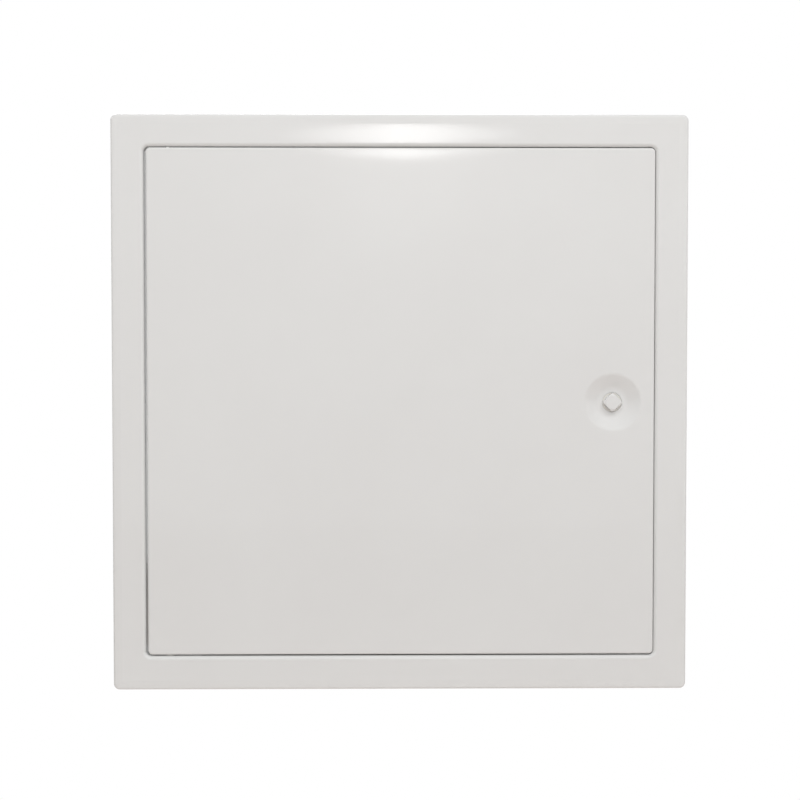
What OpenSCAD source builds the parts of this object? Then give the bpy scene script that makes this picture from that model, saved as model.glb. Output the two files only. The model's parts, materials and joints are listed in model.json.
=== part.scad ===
// Sheet-steel access panel: a pressed frame that lines a cut-out in a wall or ceiling, and a flush
// hinged door with a dished square-key lock. The upper hinge pin is sprung, so the door lifts out.
//
// Each piece is drawn lying flat: x to the right, y up the panel and z out towards the room, with
// z = 0 on the wall's surface. stand_up() then turns it upright, so that the room is towards -Y.

/* [Frame] */
// Clear width inside the collar
opening_w = 292.5; // [200:0.5:600]
// Clear height inside the collar
opening_h = 292; // [220:0.5:600]
// Width of the flange at the sides, from the collar's inner face to its outer edge
flange_w = 18.75; // [14:0.25:40]
// Width of the flange along the top
flange_top_w = 18.5; // [14:0.25:40]
// Width of the flange along the bottom
flange_bottom_w = 19.5; // [14:0.25:40]
// How far the flange's face stands in front of the wall
flange_proud = 6; // [5:0.25:12]
// Thickness of the frame's sheet
frame_sheet = 1; // [0.7:0.1:1.5]
// Width of the flange's margin, which slopes back towards the wall
margin_w = 5.2; // [3:0.1:5.4]
// Slope of the margin, in degrees
margin_angle = 4.5; // [1:0.5:12]
// Outside radius of the fold at the flange's outer edge
outer_edge_r = 1.5; // [1.25:0.05:2.5]
// Radius of the flange's corners, seen from the front
outer_corner_r = 5.5; // [5.3:0.1:9]
// Outside radius of the bend from flange to collar
inner_bend_r = 2.25; // [1.75:0.25:3]
// Radius of the collar's corners, on the inside
opening_corner_r = 3; // [2:0.25:6]
// How far the collar reaches behind the wall's surface
collar_depth = 30; // [29:1:60]

/* [Door] */
// Thickness of the door's sheet
door_sheet = 1; // [0.7:0.1:1.2]
// Depth of the door's folded edge
door_depth = 14; // [12:0.5:18]
// Outside radius of the folds along the door's edge
door_edge_r = 1.25; // [1.25:0.05:2.2]
// Radius of the door's corners, seen from the front
door_corner_r = 2.5; // [2:0.1:5]
// Width of the door's inward hem
hem_w = 8; // [5:0.5:12]
// Width of the slit between two hems at a corner
hem_slit = 0.6; // [0.3:0.1:1.5]
// How far the door's face lies behind the flange's face
face_setback = 0.3; // [0:0.1:1.5]
// Gap along the hinge edge
gap_hinge = 1.2; // [1:0.1:2.5]
// Gap along the lock edge
gap_lock = 0.4; // [0.3:0.1:2.5]
// Gap along the top edge
gap_top = 0.6; // [0.5:0.1:2.5]
// Gap along the bottom edge
gap_bottom = 0.7; // [0.6:0.1:2.5]

/* [Door stops] */
// Thickness of the stop angles
stop_sheet = 1; // [0.7:0.1:1.2]
// How far a stop's ledge reaches into the opening
ledge_w = 12; // [9:0.5:14]
// Depth of the leg that is welded to the collar
stop_leg = 10; // [6:0.5:11]
// Outside radius of a stop's fold
stop_bend_r = 1.5; // [1.25:0.05:2.5]
// Clearance between the closed door and the ledges
stop_clear = 0.3; // [0.2:0.1:1]
// Clearance between the ends of the stops
stop_end_clear = 1; // [0.5:0.1:4]

/* [Lock] */
// Distance of the lock's axis from the door's lock edge
lock_inset = 23.75; // [20:0.25:40]
// Height of the lock's axis above the opening's middle
lock_rise = 0; // [-80:1:80]
// Radius of the pressed dish round the lock
dish_r = 17.25; // [13:0.25:19]
// Depth of the dish
dish_depth = 3.25; // [2.5:0.25:5]
// Radius of the dish's flat floor
dish_floor_r = 6.6; // [6.2:0.1:9]
// Radius of the dish's rounded rim
dish_rim_r = 5; // [1.4:0.1:8]
// Width across the flats of the square stud
stud_af = 8; // [7:0.25:9]
// Length of the square stud
stud_len = 2.9; // [2.5:0.1:6]
// Diameter of the round bar that the stud is milled from
stud_bar_d = 10.4; // [9.8:0.1:12]
// Turned chamfer at the stud's tip
stud_chamfer = 0.7; // [0.3:0.1:1.5]
// Diameter of the spindle behind the stud
spindle_d = 9; // [8.4:0.1:9.6]
// Wall of the nylon bush round the spindle
bush_wall = 1; // [0.8:0.1:1.3]
// Diameter of the bush's rear flange
bush_flange_d = 19; // [15:0.5:24]
// Thickness of the bush's flange
bush_flange_t = 1.5; // [1:0.1:3]
// Outside diameter of the wave washer
wave_washer_d = 14; // [12:0.5:18]
// Thickness of the wave washer's sheet
wave_washer_t = 0.3; // [0.2:0.05:0.4]
// Height of the wave washer across its waves
wave_height = 0.8; // [0.6:0.1:1.5]
// Thickness of the cam
cam_t = 2.5; // [1.5:0.1:4]
// Width of the cam's tongue
cam_w = 14; // [10:0.5:16]
// Diameter of the cam's hub
cam_hub_d = 17; // [16.5:0.5:20]
// Slope of the lead-in at the cam's tip, in degrees
cam_lead_angle = 25; // [10:1:40]
// Depth of the lead-in at the cam's tip
cam_lead = 1.5; // [0.5:0.1:2]
// How far the locked cam reaches over the ledge
cam_bite = 8; // [4:0.5:10]
// Clearance between the cam and the ledge
cam_clear = 0.4; // [0.3:0.1:1]
// Width across the flats of the spindle's square tang
tang_af = 7; // [6.5:0.1:7.5]
// Diameter of the spindle's thread
thread_d = 6; // [4:0.5:6.4]
// Width across the flats of the cam's nut
nut_af = 10; // [9:0.5:14]
// Height of the cam's nut
nut_h = 5; // [3:0.5:6]
// Diameter of the washer under the nut
washer_d = 12; // [10:0.5:18]
// Thickness of the washer under the nut
washer_t = 1.2; // [0.6:0.1:2]
// Thread that shows past the nut
thread_spare = 1.5; // [0:0.5:4]

/* [Hinge] */
// Distance of the hinge axis from the door's hinge edge
pivot_inset = 12.5; // [11:0.5:20]
// Distance of the hinge axis behind the door's face
pivot_depth = 5; // [4.5:0.1:5.5]
// Diameter of the hinge pins
pin_d = 4; // [3:0.1:4.4]
// Running clearance round a pin or spindle
run_clear = 0.05; // [0.02:0.01:0.1]
// Clearance round a pin where it passes through the collar
collar_hole_clear = 0.5; // [0.3:0.05:0.8]
// Length of a hinge plate along the frame
plate_w = 22; // [14:1:40]
// Depth of a hinge plate
plate_depth = 15; // [10:0.5:20]
// Thickness of a hinge plate
plate_t = 2; // [1.5:0.1:3]
// Radius of a hinge plate's corners
plate_corner_r = 2; // [0.5:0.25:4]
// How far a pin's tip stays inside the hinge plate's outer face
pin_tip_recess = 0.2; // [0:0.1:1]
// Chamfer at a pin's tip
pin_chamfer = 0.6; // [0.2:0.1:1]
// Distance of a pin bracket's tab from the door's top or bottom edge
tab_drop = 24; // [18:0.5:40]
// Thickness of the pin brackets
bracket_sheet = 1.2; // [0.8:0.1:1.4]
// Width of the pin brackets
bracket_w = 16; // [12:0.5:20]
// Length of a bracket's welded foot
bracket_foot = 22; // [12:0.5:30]
// Length of a bracket's tab
bracket_tab = 10; // [8.5:0.5:14]
// Outside radius of a bracket's fold
bracket_bend_r = 1.8; // [1.6:0.1:3]
// Radius of a bracket's corners
bracket_corner_r = 2.5; // [0.5:0.25:4]
// How far the lower pin reaches past its tab
pin_overrun = 0.6; // [0:0.1:3]
// Distance of the grip's bend below the upper tab
grip_drop = 3; // [0.5:0.5:6]
// Centreline radius of the bend in the upper pin
grip_bend_r = 5; // [4:0.5:10]
// Straight length of the upper pin's finger grip
grip_len = 10; // [6:0.5:20]
// Thickness of the retaining rings
ring_t = 0.8; // [0.5:0.1:1.2]
// Outside diameter of the retaining rings
ring_d = 7.2; // [6.6:0.1:7.6]
// Depth of the grooves that hold the rings
ring_groove = 0.4; // [0.2:0.05:0.6]
// Wire diameter of the pin's spring
spring_wire = 0.7; // [0.4:0.05:0.8]
// Turns of the pin's spring
spring_turns = 9; // [6:1:14]
// Clearance between the spring and the pin inside it
spring_clear = 0.35; // [0.2:0.05:0.5]
// Outside diameter of the thrust washer under the door
thrust_d = 6.4; // [5.6:0.1:7]

/* [Fixings] */
// Diameter of the screw holes in the collar
screw_hole_d = 5; // [3.5:0.5:6]
// Distance between the two screw holes in each side
screw_pitch = 120; // [60:5:150]
// Depth of the screw and rivet holes behind the wall's surface
fixing_depth = 25; // [24.5:0.5:26]
// Width of a wall anchor
anchor_w = 18; // [14:1:24]
// Thickness of a wall anchor
anchor_t = 1.2; // [0.8:0.1:1.3]
// Distance of a wall anchor's middle from the opening's top or bottom
anchor_inset = 46; // [38:0.25:52]
// Length of a wall anchor
anchor_len = 48; // [40:1:80]
// How far a wall anchor reaches past its rivets towards the wall's surface
anchor_lap = 5; // [4:0.5:15]
// Length of the split tail of a wall anchor
tail_len = 12; // [6:1:16]
// Diameter of the rivets that hold the anchors
rivet_d = 3.2; // [2.4:0.1:4]
// Distance between the two rivets of an anchor
rivet_pitch = 9; // [7:0.5:12]
// Diameter of a rivet's domed head
rivet_head_d = 6; // [5:0.25:7]
// Height of a rivet's domed head
rivet_head_h = 1.1; // [0.6:0.1:1.6]
// Diameter of a rivet's flat tail
rivet_tail_d = 4.6; // [4.2:0.1:6]
// Height of a rivet's flat tail
rivet_tail_h = 0.6; // [0.3:0.1:0.8]

/* [Hidden] */
$fn = 96;
// Facets round the spring's wire and round one of its turns
wire_sides = 8;
turn_steps = 14;
// Rise of one closed end turn of the spring, as a share of its wire's diameter
closed_pitch = 1.04;
// Waves of the wave washer, and facets round it
waves = 3;
wave_steps = 72;
// Overshoot of a cutting tool past the face that it cuts
cut = 1;
// Overlap of two stretches of one sheet where they are joined
lap = 0.2;
// Play of the thrust washer, the spring and the rings between the faces that hold them
thrust_play = 0.1;
spring_play = 0.05;
ring_play = 0.2;
// How far the bush stays below the dish's floor, and the tang inside the cam
bush_recess = 0.2;
tang_recess = 0.2;

frame_w = opening_w + 2 * flange_w;
frame_h = opening_h + flange_top_w + flange_bottom_w;
frame_middle_y = (flange_top_w - flange_bottom_w) / 2;

// Frame: its outer faces where anchors and hinge plates lie
collar_outside_x = opening_w / 2 + frame_sheet;
collar_outside_y = opening_h / 2 + frame_sheet;
anchor_y = opening_h / 2 - anchor_inset;

// Door: its edges, and its levels from the face to the hem's back
door_left = -opening_w / 2 + gap_hinge;
door_right = opening_w / 2 - gap_lock;
door_top = opening_h / 2 - gap_top;
door_bottom = -opening_h / 2 + gap_bottom;
door_w = door_right - door_left;
door_h = door_top - door_bottom;
door_centre = [(door_left + door_right) / 2, (door_top + door_bottom) / 2];
door_face = flange_proud - face_setback;
door_inside = door_face - door_sheet;
door_back = door_face - door_depth;

// Stops: the ledge's front and back
ledge_front = door_back - stop_clear;
ledge_back = ledge_front - stop_sheet;
lock_stop_len = opening_h - 2 * opening_corner_r - 2 * stop_end_clear;

// Hinge: its axis, and how far the door's folded edge swings round it
pivot_x = door_left + pivot_inset;
pivot_z = door_face - pivot_depth;
pin_r = pin_d / 2;
swing_r = norm([pivot_inset, door_depth - pivot_depth]);
pin_tip = collar_outside_y + plate_t - pin_tip_recess;
upper_tab = door_top - tab_drop;
lower_tab = door_bottom + tab_drop;
upper_ring = door_top - door_sheet - ring_play - ring_t;
lower_ring = door_bottom + door_sheet + ring_play;
spring_r = pin_r + spring_clear + spring_wire / 2;

// The cross stops run from clear of the swinging hinge edge to the lock stop's ledge
cross_stop_start = pivot_x + swing_r + stop_end_clear;
cross_stop_end = opening_w / 2 - ledge_w - stop_end_clear;
cross_stop_len = cross_stop_end - cross_stop_start;
cross_stop_middle = (cross_stop_start + cross_stop_end) / 2;

// Lock: its axis, and the levels of its stack from the stud to the thread's end
lock_at = [door_right - lock_inset, lock_rise];
dish_floor = door_face - dish_depth;
dish_back = dish_floor - door_sheet;
spindle_r = spindle_d / 2;
bush_bore_r = spindle_r + run_clear;
bush_r = bush_bore_r + bush_wall;
cam_front = ledge_back - cam_clear;
bush_end = cam_front + wave_height;
cam_back = cam_front - cam_t;
washer_back = cam_back - washer_t;
nut_back = washer_back - nut_h;
cam_len = lock_inset + gap_lock - ledge_w + cam_bite;

// Turns a piece that is drawn lying flat upright, with its front towards -Y
module stand_up() {
    rotate([90, 0, 0]) children();
}

// Strip of sheet bent round an arc, centred on the bend
module bent_strip(r_out, sheet, start, turn) {
    intersection() {
        difference() {
            circle(r_out);
            circle(r_out - sheet);
        }
        polygon([[0, 0], for (share = [0, 0.5, 1])
            2 * r_out * [cos(start + turn * share), sin(start + turn * share)]]);
    }
}

// Section of a folded angle: legs along +x and +y from a rounded corner at the origin
module angle_section(leg_x, leg_y, sheet, bend_r) {
    translate([bend_r, 0]) square([leg_x - bend_r, sheet]);
    translate([0, bend_r]) square([sheet, leg_y - bend_r]);
    translate([bend_r, bend_r]) bent_strip(bend_r, sheet, 180, 90);
}

// Outline of a rectangle with round corners
module round_outline(w, h, r) {
    square([w - 2 * r, h], center = true);
    square([w, h - 2 * r], center = true);
    for (x = [-1, 1], y = [-1, 1])
        translate([x * (w / 2 - r), y * (h / 2 - r)]) circle(r);
}

// Sweeps a section round a rectangle of corner axes w by h. The section's x is the distance out
// from the corner axes, and its y is the level.
module sweep_round(w, h) {
    for (side = [0 : 3]) {
        along = side % 2 == 0 ? h : w;
        across = side % 2 == 0 ? w : h;
        rotate(90 * side) {
            translate([across / 2, 0, 0]) rotate([90, 0, 0])
                linear_extrude(along, center = true) children();
            translate([across / 2, along / 2, 0]) rotate_extrude(angle = 90) children();
        }
    }
}

// Cylinder along y, from one height to another
module rod_y(r, from, to) {
    translate([0, from, 0]) rotate([-90, 0, 0]) cylinder(r = r, h = to - from);
}

// Cylinder along x, from one place to another
module rod_x(r, from, to) {
    translate([from, 0, 0]) rotate([0, 90, 0]) cylinder(r = r, h = to - from);
}

// Flat ring between two levels
module flat_ring(r_out, r_in, from, to) {
    translate([0, 0, from]) linear_extrude(to - from) difference() {
        circle(r_out);
        circle(r_in);
    }
}

// Section of the outer edge: the sloped margin, the fold at its edge, then a short lip back to the wall
module outer_edge_section() {
    crease = outer_corner_r - margin_w;
    fold_x = outer_corner_r - outer_edge_r;
    fold_z = flange_proud - (fold_x - crease) * tan(margin_angle) - outer_edge_r / cos(margin_angle);
    out = [sin(margin_angle), cos(margin_angle)];
    fold = [fold_x, fold_z];
    translate([0, flange_proud - frame_sheet]) square([crease, frame_sheet]);
    polygon([[crease, flange_proud], fold + outer_edge_r * out,
        fold + (outer_edge_r - frame_sheet) * out, [crease, flange_proud - frame_sheet]]);
    translate(fold) bent_strip(outer_edge_r, frame_sheet, 0, 90 - margin_angle);
    translate([outer_corner_r - frame_sheet, 0]) square([frame_sheet, fold_z]);
}

// Section of the bend from the flange into the collar, and of the collar
module collar_section() {
    translate([opening_corner_r + inner_bend_r, flange_proud - inner_bend_r])
        bent_strip(inner_bend_r, frame_sheet, 90, 90);
    translate([opening_corner_r + inner_bend_r, flange_proud - frame_sheet]) square([lap, frame_sheet]);
    translate([opening_corner_r, -collar_depth])
        square([frame_sheet, collar_depth + flange_proud - inner_bend_r]);
}

// Flat face of the flange, between the two bends
module flange_face() {
    translate([0, 0, flange_proud - frame_sheet]) linear_extrude(frame_sheet) difference() {
        translate([0, frame_middle_y])
            square([frame_w - 2 * outer_corner_r + lap, frame_h - 2 * outer_corner_r + lap], center = true);
        round_outline(opening_w + 2 * inner_bend_r, opening_h + 2 * inner_bend_r,
            opening_corner_r + inner_bend_r);
    }
}

// Screw holes through the collar, two in each side
module screw_holes() {
    for (place = [-1, 1]) {
        translate([0, place * screw_pitch / 2, -fixing_depth])
            rod_x(screw_hole_d / 2, -collar_outside_x - cut, collar_outside_x + cut);
        translate([place * screw_pitch / 2, 0, -fixing_depth])
            rod_y(screw_hole_d / 2, -collar_outside_y - cut, collar_outside_y + cut);
    }
}

// Places one rivet's axis for each rivet of one anchor
module at_rivets(side, height) {
    for (place = [-1, 1])
        translate([0, height * anchor_y + place * rivet_pitch / 2, -fixing_depth])
            rotate(side < 0 ? 180 : 0) children();
}

module frame() {
    color("whitesmoke") stand_up() difference() {
        union() {
            flange_face();
            translate([0, frame_middle_y, 0])
                sweep_round(frame_w - 2 * outer_corner_r, frame_h - 2 * outer_corner_r)
                    outer_edge_section();
            sweep_round(opening_w - 2 * opening_corner_r, opening_h - 2 * opening_corner_r)
                collar_section();
        }
        translate([pivot_x, 0, pivot_z])
            rod_y(pin_r + collar_hole_clear, -collar_outside_y - cut, collar_outside_y + cut);
        screw_holes();
        for (side = [-1, 1], height = [-1, 1])
            at_rivets(side, height) rod_x(rivet_d / 2, opening_w / 2 - cut, collar_outside_x + cut);
    }
}

// Stop angle along y, with its welded leg on x = 0 and its ledge's front on z = 0
module stop_angle(length) {
    color("whitesmoke") rotate([90, 0, 0]) linear_extrude(length, center = true)
        rotate(180) angle_section(ledge_w, stop_sheet + stop_leg, stop_sheet, stop_bend_r);
}

module top_stop() {
    stand_up() translate([cross_stop_middle, opening_h / 2, ledge_front])
        rotate(90) stop_angle(cross_stop_len);
}

module bottom_stop() {
    stand_up() translate([cross_stop_middle, -opening_h / 2, ledge_front])
        rotate(-90) stop_angle(cross_stop_len);
}

module lock_stop() {
    stand_up() translate([opening_w / 2, 0, ledge_front]) stop_angle(lock_stop_len);
}

// Doubling plate outside the collar, in which a hinge pin turns. It ends where the flange's bend begins.
module hinge_plate() {
    middle = flange_proud - inner_bend_r - plate_depth / 2;
    color("silver") difference() {
        translate([pivot_x, collar_outside_y, middle]) rotate([-90, 0, 0]) linear_extrude(plate_t)
            round_outline(plate_w, plate_depth, plate_corner_r);
        translate([pivot_x, 0, pivot_z])
            rod_y(pin_r + run_clear, collar_outside_y - cut, collar_outside_y + plate_t + cut);
    }
}

module upper_hinge_plate() {
    stand_up() hinge_plate();
}

module lower_hinge_plate() {
    stand_up() mirror([0, 1, 0]) hinge_plate();
}

// Wall anchor: a strip along the collar that is bent out on site, with a fishtail end
module wall_anchor(side, height) {
    color("silver") stand_up() difference() {
        translate([0, height * anchor_y, -fixing_depth]) rotate(side < 0 ? 180 : 0)
            translate([collar_outside_x, 0, 0]) rotate([0, 90, 0]) linear_extrude(anchor_t) difference() {
                translate([-anchor_lap, -anchor_w / 2]) square([anchor_len, anchor_w]);
                translate([anchor_len - anchor_lap, 0])
                    polygon([[cut, -anchor_w / 4], [-tail_len, 0], [cut, anchor_w / 4]]);
            }
        at_rivets(side, height)
            rod_x(rivet_d / 2, collar_outside_x - cut, collar_outside_x + anchor_t + cut);
    }
}

module upper_left_anchor() {
    wall_anchor(-1, 1);
}

module lower_left_anchor() {
    wall_anchor(-1, -1);
}

module upper_right_anchor() {
    wall_anchor(1, 1);
}

module lower_right_anchor() {
    wall_anchor(1, -1);
}

// Rivet along +x, with its domed head inside the collar and its flat tail on the anchor
module rivet() {
    shank_r = rivet_d / 2 - run_clear;
    head_r = rivet_head_d / 2;
    dome_r = (head_r * head_r + rivet_head_h * rivet_head_h) / (2 * rivet_head_h);
    tail = collar_outside_x + anchor_t;
    rod_x(shank_r, opening_w / 2, tail);
    rod_x(rivet_tail_d / 2, tail, tail + rivet_tail_h);
    translate([opening_w / 2, 0, 0]) rotate([0, -90, 0]) rotate_extrude() intersection() {
        translate([0, rivet_head_h - dome_r]) circle(dome_r);
        square([head_r, rivet_head_h]);
    }
}

module anchor_rivets() {
    color("silver") stand_up() for (side = [-1, 1], height = [-1, 1])
        at_rivets(side, height) rivet();
}

// Section of the door's edge: fold, side and second fold
module door_edge_section() {
    flat = door_corner_r - door_edge_r;
    translate([0, door_inside]) square([flat, door_sheet]);
    translate([flat, door_face - door_edge_r]) bent_strip(door_edge_r, door_sheet, 0, 90);
    translate([door_corner_r - door_sheet, door_back + door_edge_r])
        square([door_sheet, door_depth - 2 * door_edge_r]);
    translate([flat, door_back + door_edge_r]) bent_strip(door_edge_r, door_sheet, 270, 90);
    translate([0, door_back]) square([flat, door_sheet]);
}

// Section of the pressed dish: a round rim that runs into a bowl and a flat floor round a hole
module dish_section() {
    run = dish_r - dish_floor_r;
    slope = 2 * atan(dish_depth / run);
    bowl_r = run / sin(slope) - dish_rim_r;
    translate([dish_r, door_face - dish_rim_r]) bent_strip(dish_rim_r, door_sheet, 90, slope);
    translate([dish_floor_r, dish_floor + bowl_r])
        bent_strip(bowl_r + door_sheet, door_sheet, -90, slope);
    translate([dish_r, door_inside]) square([lap, door_sheet]);
    translate([bush_r, dish_back]) square([dish_floor_r - bush_r, door_sheet]);
}

// Slits that part the hems at the door's corners
module hem_slits() {
    reach = hem_w * sqrt(2) + door_corner_r;
    for (x = [-1, 1], y = [-1, 1])
        translate([x * door_w / 2, y * door_h / 2, door_back - cut]) rotate(-45 * x * y)
            translate([-hem_slit / 2, y < 0 ? door_corner_r / 2 : -reach, 0])
                cube([hem_slit, reach - door_corner_r / 2, door_sheet + cut]);
}

module door_panel() {
    flat_w = door_w - 2 * door_corner_r;
    flat_h = door_h - 2 * door_corner_r;
    color("whitesmoke") stand_up() difference() {
        union() {
            translate([door_centre.x, door_centre.y, 0]) {
                sweep_round(flat_w, flat_h) door_edge_section();
                translate([0, 0, door_back]) linear_extrude(door_sheet) difference() {
                    square([flat_w + lap, flat_h + lap], center = true);
                    square([door_w - 2 * hem_w, door_h - 2 * hem_w], center = true);
                }
            }
            translate([0, 0, door_inside]) linear_extrude(door_sheet) difference() {
                translate(door_centre) square([flat_w + lap, flat_h + lap], center = true);
                translate(lock_at) circle(dish_r);
            }
            translate(lock_at) rotate_extrude() dish_section();
        }
        translate(door_centre) hem_slits();
        translate([pivot_x, 0, pivot_z]) rod_y(pin_r + run_clear, door_bottom - cut, door_top + cut);
    }
}

// Folded bracket on the door's back: a foot on the sheet and a tab that guides a hinge pin
module pin_bracket() {
    color("silver") difference() {
        intersection() {
            translate([pivot_x - bracket_w / 2, upper_tab, door_inside]) rotate([90, 0, 90])
                linear_extrude(bracket_w) rotate(180)
                    angle_section(bracket_foot, bracket_tab, bracket_sheet, bracket_bend_r);
            translate([pivot_x, upper_tab, door_inside - bracket_tab]) linear_extrude(bracket_tab)
                round_outline(bracket_w, 2 * bracket_foot, bracket_corner_r);
            translate([pivot_x, upper_tab, door_inside]) rotate([90, 0, 0]) linear_extrude(bracket_foot)
                round_outline(bracket_w, 2 * bracket_tab, bracket_corner_r);
        }
        translate([pivot_x, 0, pivot_z])
            rod_y(pin_r + run_clear, upper_tab - bracket_sheet - cut, upper_tab + cut);
    }
}

module upper_pin_bracket() {
    stand_up() pin_bracket();
}

module lower_pin_bracket() {
    stand_up() translate([0, upper_tab + lower_tab, 0]) mirror([0, 1, 0]) pin_bracket();
}

// Groove in a pin for a retaining ring that sits from one height up
module groove_cut(at) {
    rotate([-90, 0, 0]) flat_ring(pin_r + cut, pin_r - ring_groove, at, at + ring_t);
}

// Open retaining ring in its groove
module retaining_ring(at) {
    mouth = pin_d - 2 * ring_groove;
    color("silver") rotate([-90, 0, 0]) translate([0, 0, at]) linear_extrude(ring_t) difference() {
        circle(ring_d / 2);
        circle(pin_r - ring_groove);
        translate([0, -mouth / 2]) square([ring_d, mouth]);
    }
}

// Hinge pin along y, with a chamfer at its tip
module tipped_pin(from, tip) {
    rod_y(pin_r, from, tip - pin_chamfer);
    translate([0, tip - pin_chamfer, 0]) rotate([-90, 0, 0])
        cylinder(r1 = pin_r, r2 = pin_r - pin_chamfer, h = pin_chamfer);
}

// Fixed pin through the door's bottom edge and the lower tab
module lower_hinge_pin() {
    color("silver") stand_up() translate([pivot_x, 0, pivot_z]) difference() {
        mirror([0, 1, 0]) tipped_pin(-lower_tab - bracket_sheet - pin_overrun, pin_tip);
        groove_cut(lower_ring);
    }
}

module lower_pin_ring() {
    stand_up() translate([pivot_x, 0, pivot_z]) retaining_ring(lower_ring);
}

// Nylon washer in the bottom gap, which carries the door
module thrust_washer() {
    low = -opening_h / 2 + thrust_play;
    high = door_bottom - thrust_play;
    color("white") stand_up() translate([pivot_x, 0, pivot_z]) rotate([-90, 0, 0])
        flat_ring(thrust_d / 2, pin_r + run_clear, low, high);
}

// Point on the spring's wire: closed end turns, and open turns between them
function spring_height(share, free) =
    let (closed = spring_wire * closed_pitch, ends = 1 / spring_turns)
    lookup(share, [[0, 0], [ends, closed], [1 - ends, free - closed], [1, free]]);
function wire_point(step, side, free) =
    let (share = step / (spring_turns * turn_steps), turn = 360 * step / turn_steps,
        round = 360 * side / wire_sides,
        out = spring_r + spring_wire / 2 * cos(round))
    [out * cos(turn), out * sin(turn), spring_height(share, free) + spring_wire / 2 * sin(round)];

module helix(free) {
    steps = spring_turns * turn_steps;
    points = [for (step = [0 : steps], side = [0 : wire_sides - 1]) wire_point(step, side, free)];
    skin = [for (step = [0 : steps - 1], side = [0 : wire_sides - 1])
        let (a = step * wire_sides + side, b = step * wire_sides + (side + 1) % wire_sides)
        [a, a + wire_sides, b + wire_sides, b]];
    first = [for (side = [0 : wire_sides - 1]) side];
    last = [for (side = [wire_sides - 1 : -1 : 0]) steps * wire_sides + side];
    polyhedron(points, concat(skin, [first], [last]), convexity = 10);
}

// Spring between the upper tab and the upper pin's ring
module pin_spring() {
    low = upper_tab + spring_wire / 2 + spring_play;
    high = upper_ring - spring_wire / 2 - spring_play;
    color("silver") stand_up() translate([pivot_x, low, pivot_z]) rotate([-90, 0, 0])
        helix(high - low);
}

// Sprung pin through the tab and the door's top edge, with a bent finger grip
module upper_hinge_pin() {
    grip_y = upper_tab - bracket_sheet - grip_drop;
    color("silver") stand_up() translate([pivot_x, 0, pivot_z]) difference() {
        union() {
            tipped_pin(grip_y, pin_tip);
            translate([grip_bend_r, grip_y, 0]) rotate(180) rotate_extrude(angle = 90)
                translate([grip_bend_r, 0]) circle(pin_r);
            translate([0, grip_y - grip_bend_r, 0]) rod_x(pin_r, grip_bend_r, grip_bend_r + grip_len);
        }
        groove_cut(upper_ring);
    }
}

module upper_pin_ring() {
    stand_up() translate([pivot_x, 0, pivot_z]) retaining_ring(upper_ring);
}

// Flanged nylon bush in the dish's hole
module lock_bush() {
    front = dish_floor - bush_recess;
    color("white") stand_up() translate(lock_at) rotate_extrude() {
        translate([bush_bore_r, bush_end]) square([bush_wall - run_clear, front - bush_end]);
        translate([bush_bore_r, dish_back - bush_flange_t])
            square([bush_flange_d / 2 - bush_bore_r, bush_flange_t]);
    }
}

// Spindle: milled square stud, round shank, square tang and thread
module lock_spindle() {
    tip = dish_floor + stud_len;
    bar_r = stud_bar_d / 2;
    tang_end = cam_back + tang_recess;
    color("whitesmoke") stand_up() translate(lock_at) {
        intersection() {
            translate([0, 0, dish_floor]) rotate(45) linear_extrude(stud_len)
                square(stud_af, center = true);
            rotate_extrude() polygon([[0, dish_floor], [bar_r, dish_floor], [bar_r, tip - stud_chamfer],
                [bar_r - 2 * stud_chamfer, tip], [0, tip]]);
        }
        translate([0, 0, cam_front]) cylinder(r = spindle_r, h = dish_floor - cam_front);
        intersection() {
            translate([0, 0, tang_end]) linear_extrude(cam_front - tang_end)
                square(tang_af, center = true);
            translate([0, 0, tang_end]) cylinder(r = spindle_r, h = cam_front - tang_end);
        }
        translate([0, 0, nut_back - thread_spare])
            cylinder(r = thread_d / 2, h = tang_end - nut_back + thread_spare);
    }
}

// Corner of the wave washer's section at one step round it
function wave_point(step, corner, r_in, r_out) =
    let (turn = 360 * step / wave_steps,
        r = corner == 0 || corner == 3 ? r_in : r_out,
        swing = (wave_height - wave_washer_t) / 2 - run_clear,
        middle = (cam_front + bush_end) / 2 + swing * sin(waves * turn))
    [r * cos(turn), r * sin(turn), middle + (corner < 2 ? -1 : 1) * wave_washer_t / 2];

// Wave washer, pressed between the bush and the cam
module wave_washer() {
    r_in = spindle_r + 2 * run_clear;
    points = [for (step = [0 : wave_steps - 1], corner = [0 : 3])
        wave_point(step, corner, r_in, wave_washer_d / 2)];
    skin = [for (step = [0 : wave_steps - 1], corner = [0 : 3])
        let (next = (step + 1) % wave_steps, other = (corner + 1) % 4)
        [4 * step + corner, 4 * next + corner, 4 * next + other, 4 * step + other]];
    color("silver") stand_up() translate(lock_at) polyhedron(points, skin, convexity = 6);
}

// Cam: a hub on the tang and a tongue that turns behind the lock stop's ledge
module lock_cam() {
    color("silver") stand_up() translate(lock_at) difference() {
        translate([0, 0, cam_back]) linear_extrude(cam_t) difference() {
            union() {
                circle(cam_hub_d / 2);
                intersection() {
                    circle(cam_len);
                    translate([-cam_w / 2, -cam_len]) square([cam_w, cam_len]);
                }
            }
            square(tang_af + 2 * run_clear, center = true);
        }
        translate([-cam_w, -cam_len, cam_front - cam_lead]) rotate([cam_lead_angle, 0, 0])
            cube([2 * cam_w, cam_len, cam_t]);
    }
}

module cam_washer() {
    color("silver") stand_up() translate(lock_at)
        flat_ring(washer_d / 2, thread_d / 2 + run_clear, washer_back, cam_back);
}

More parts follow.
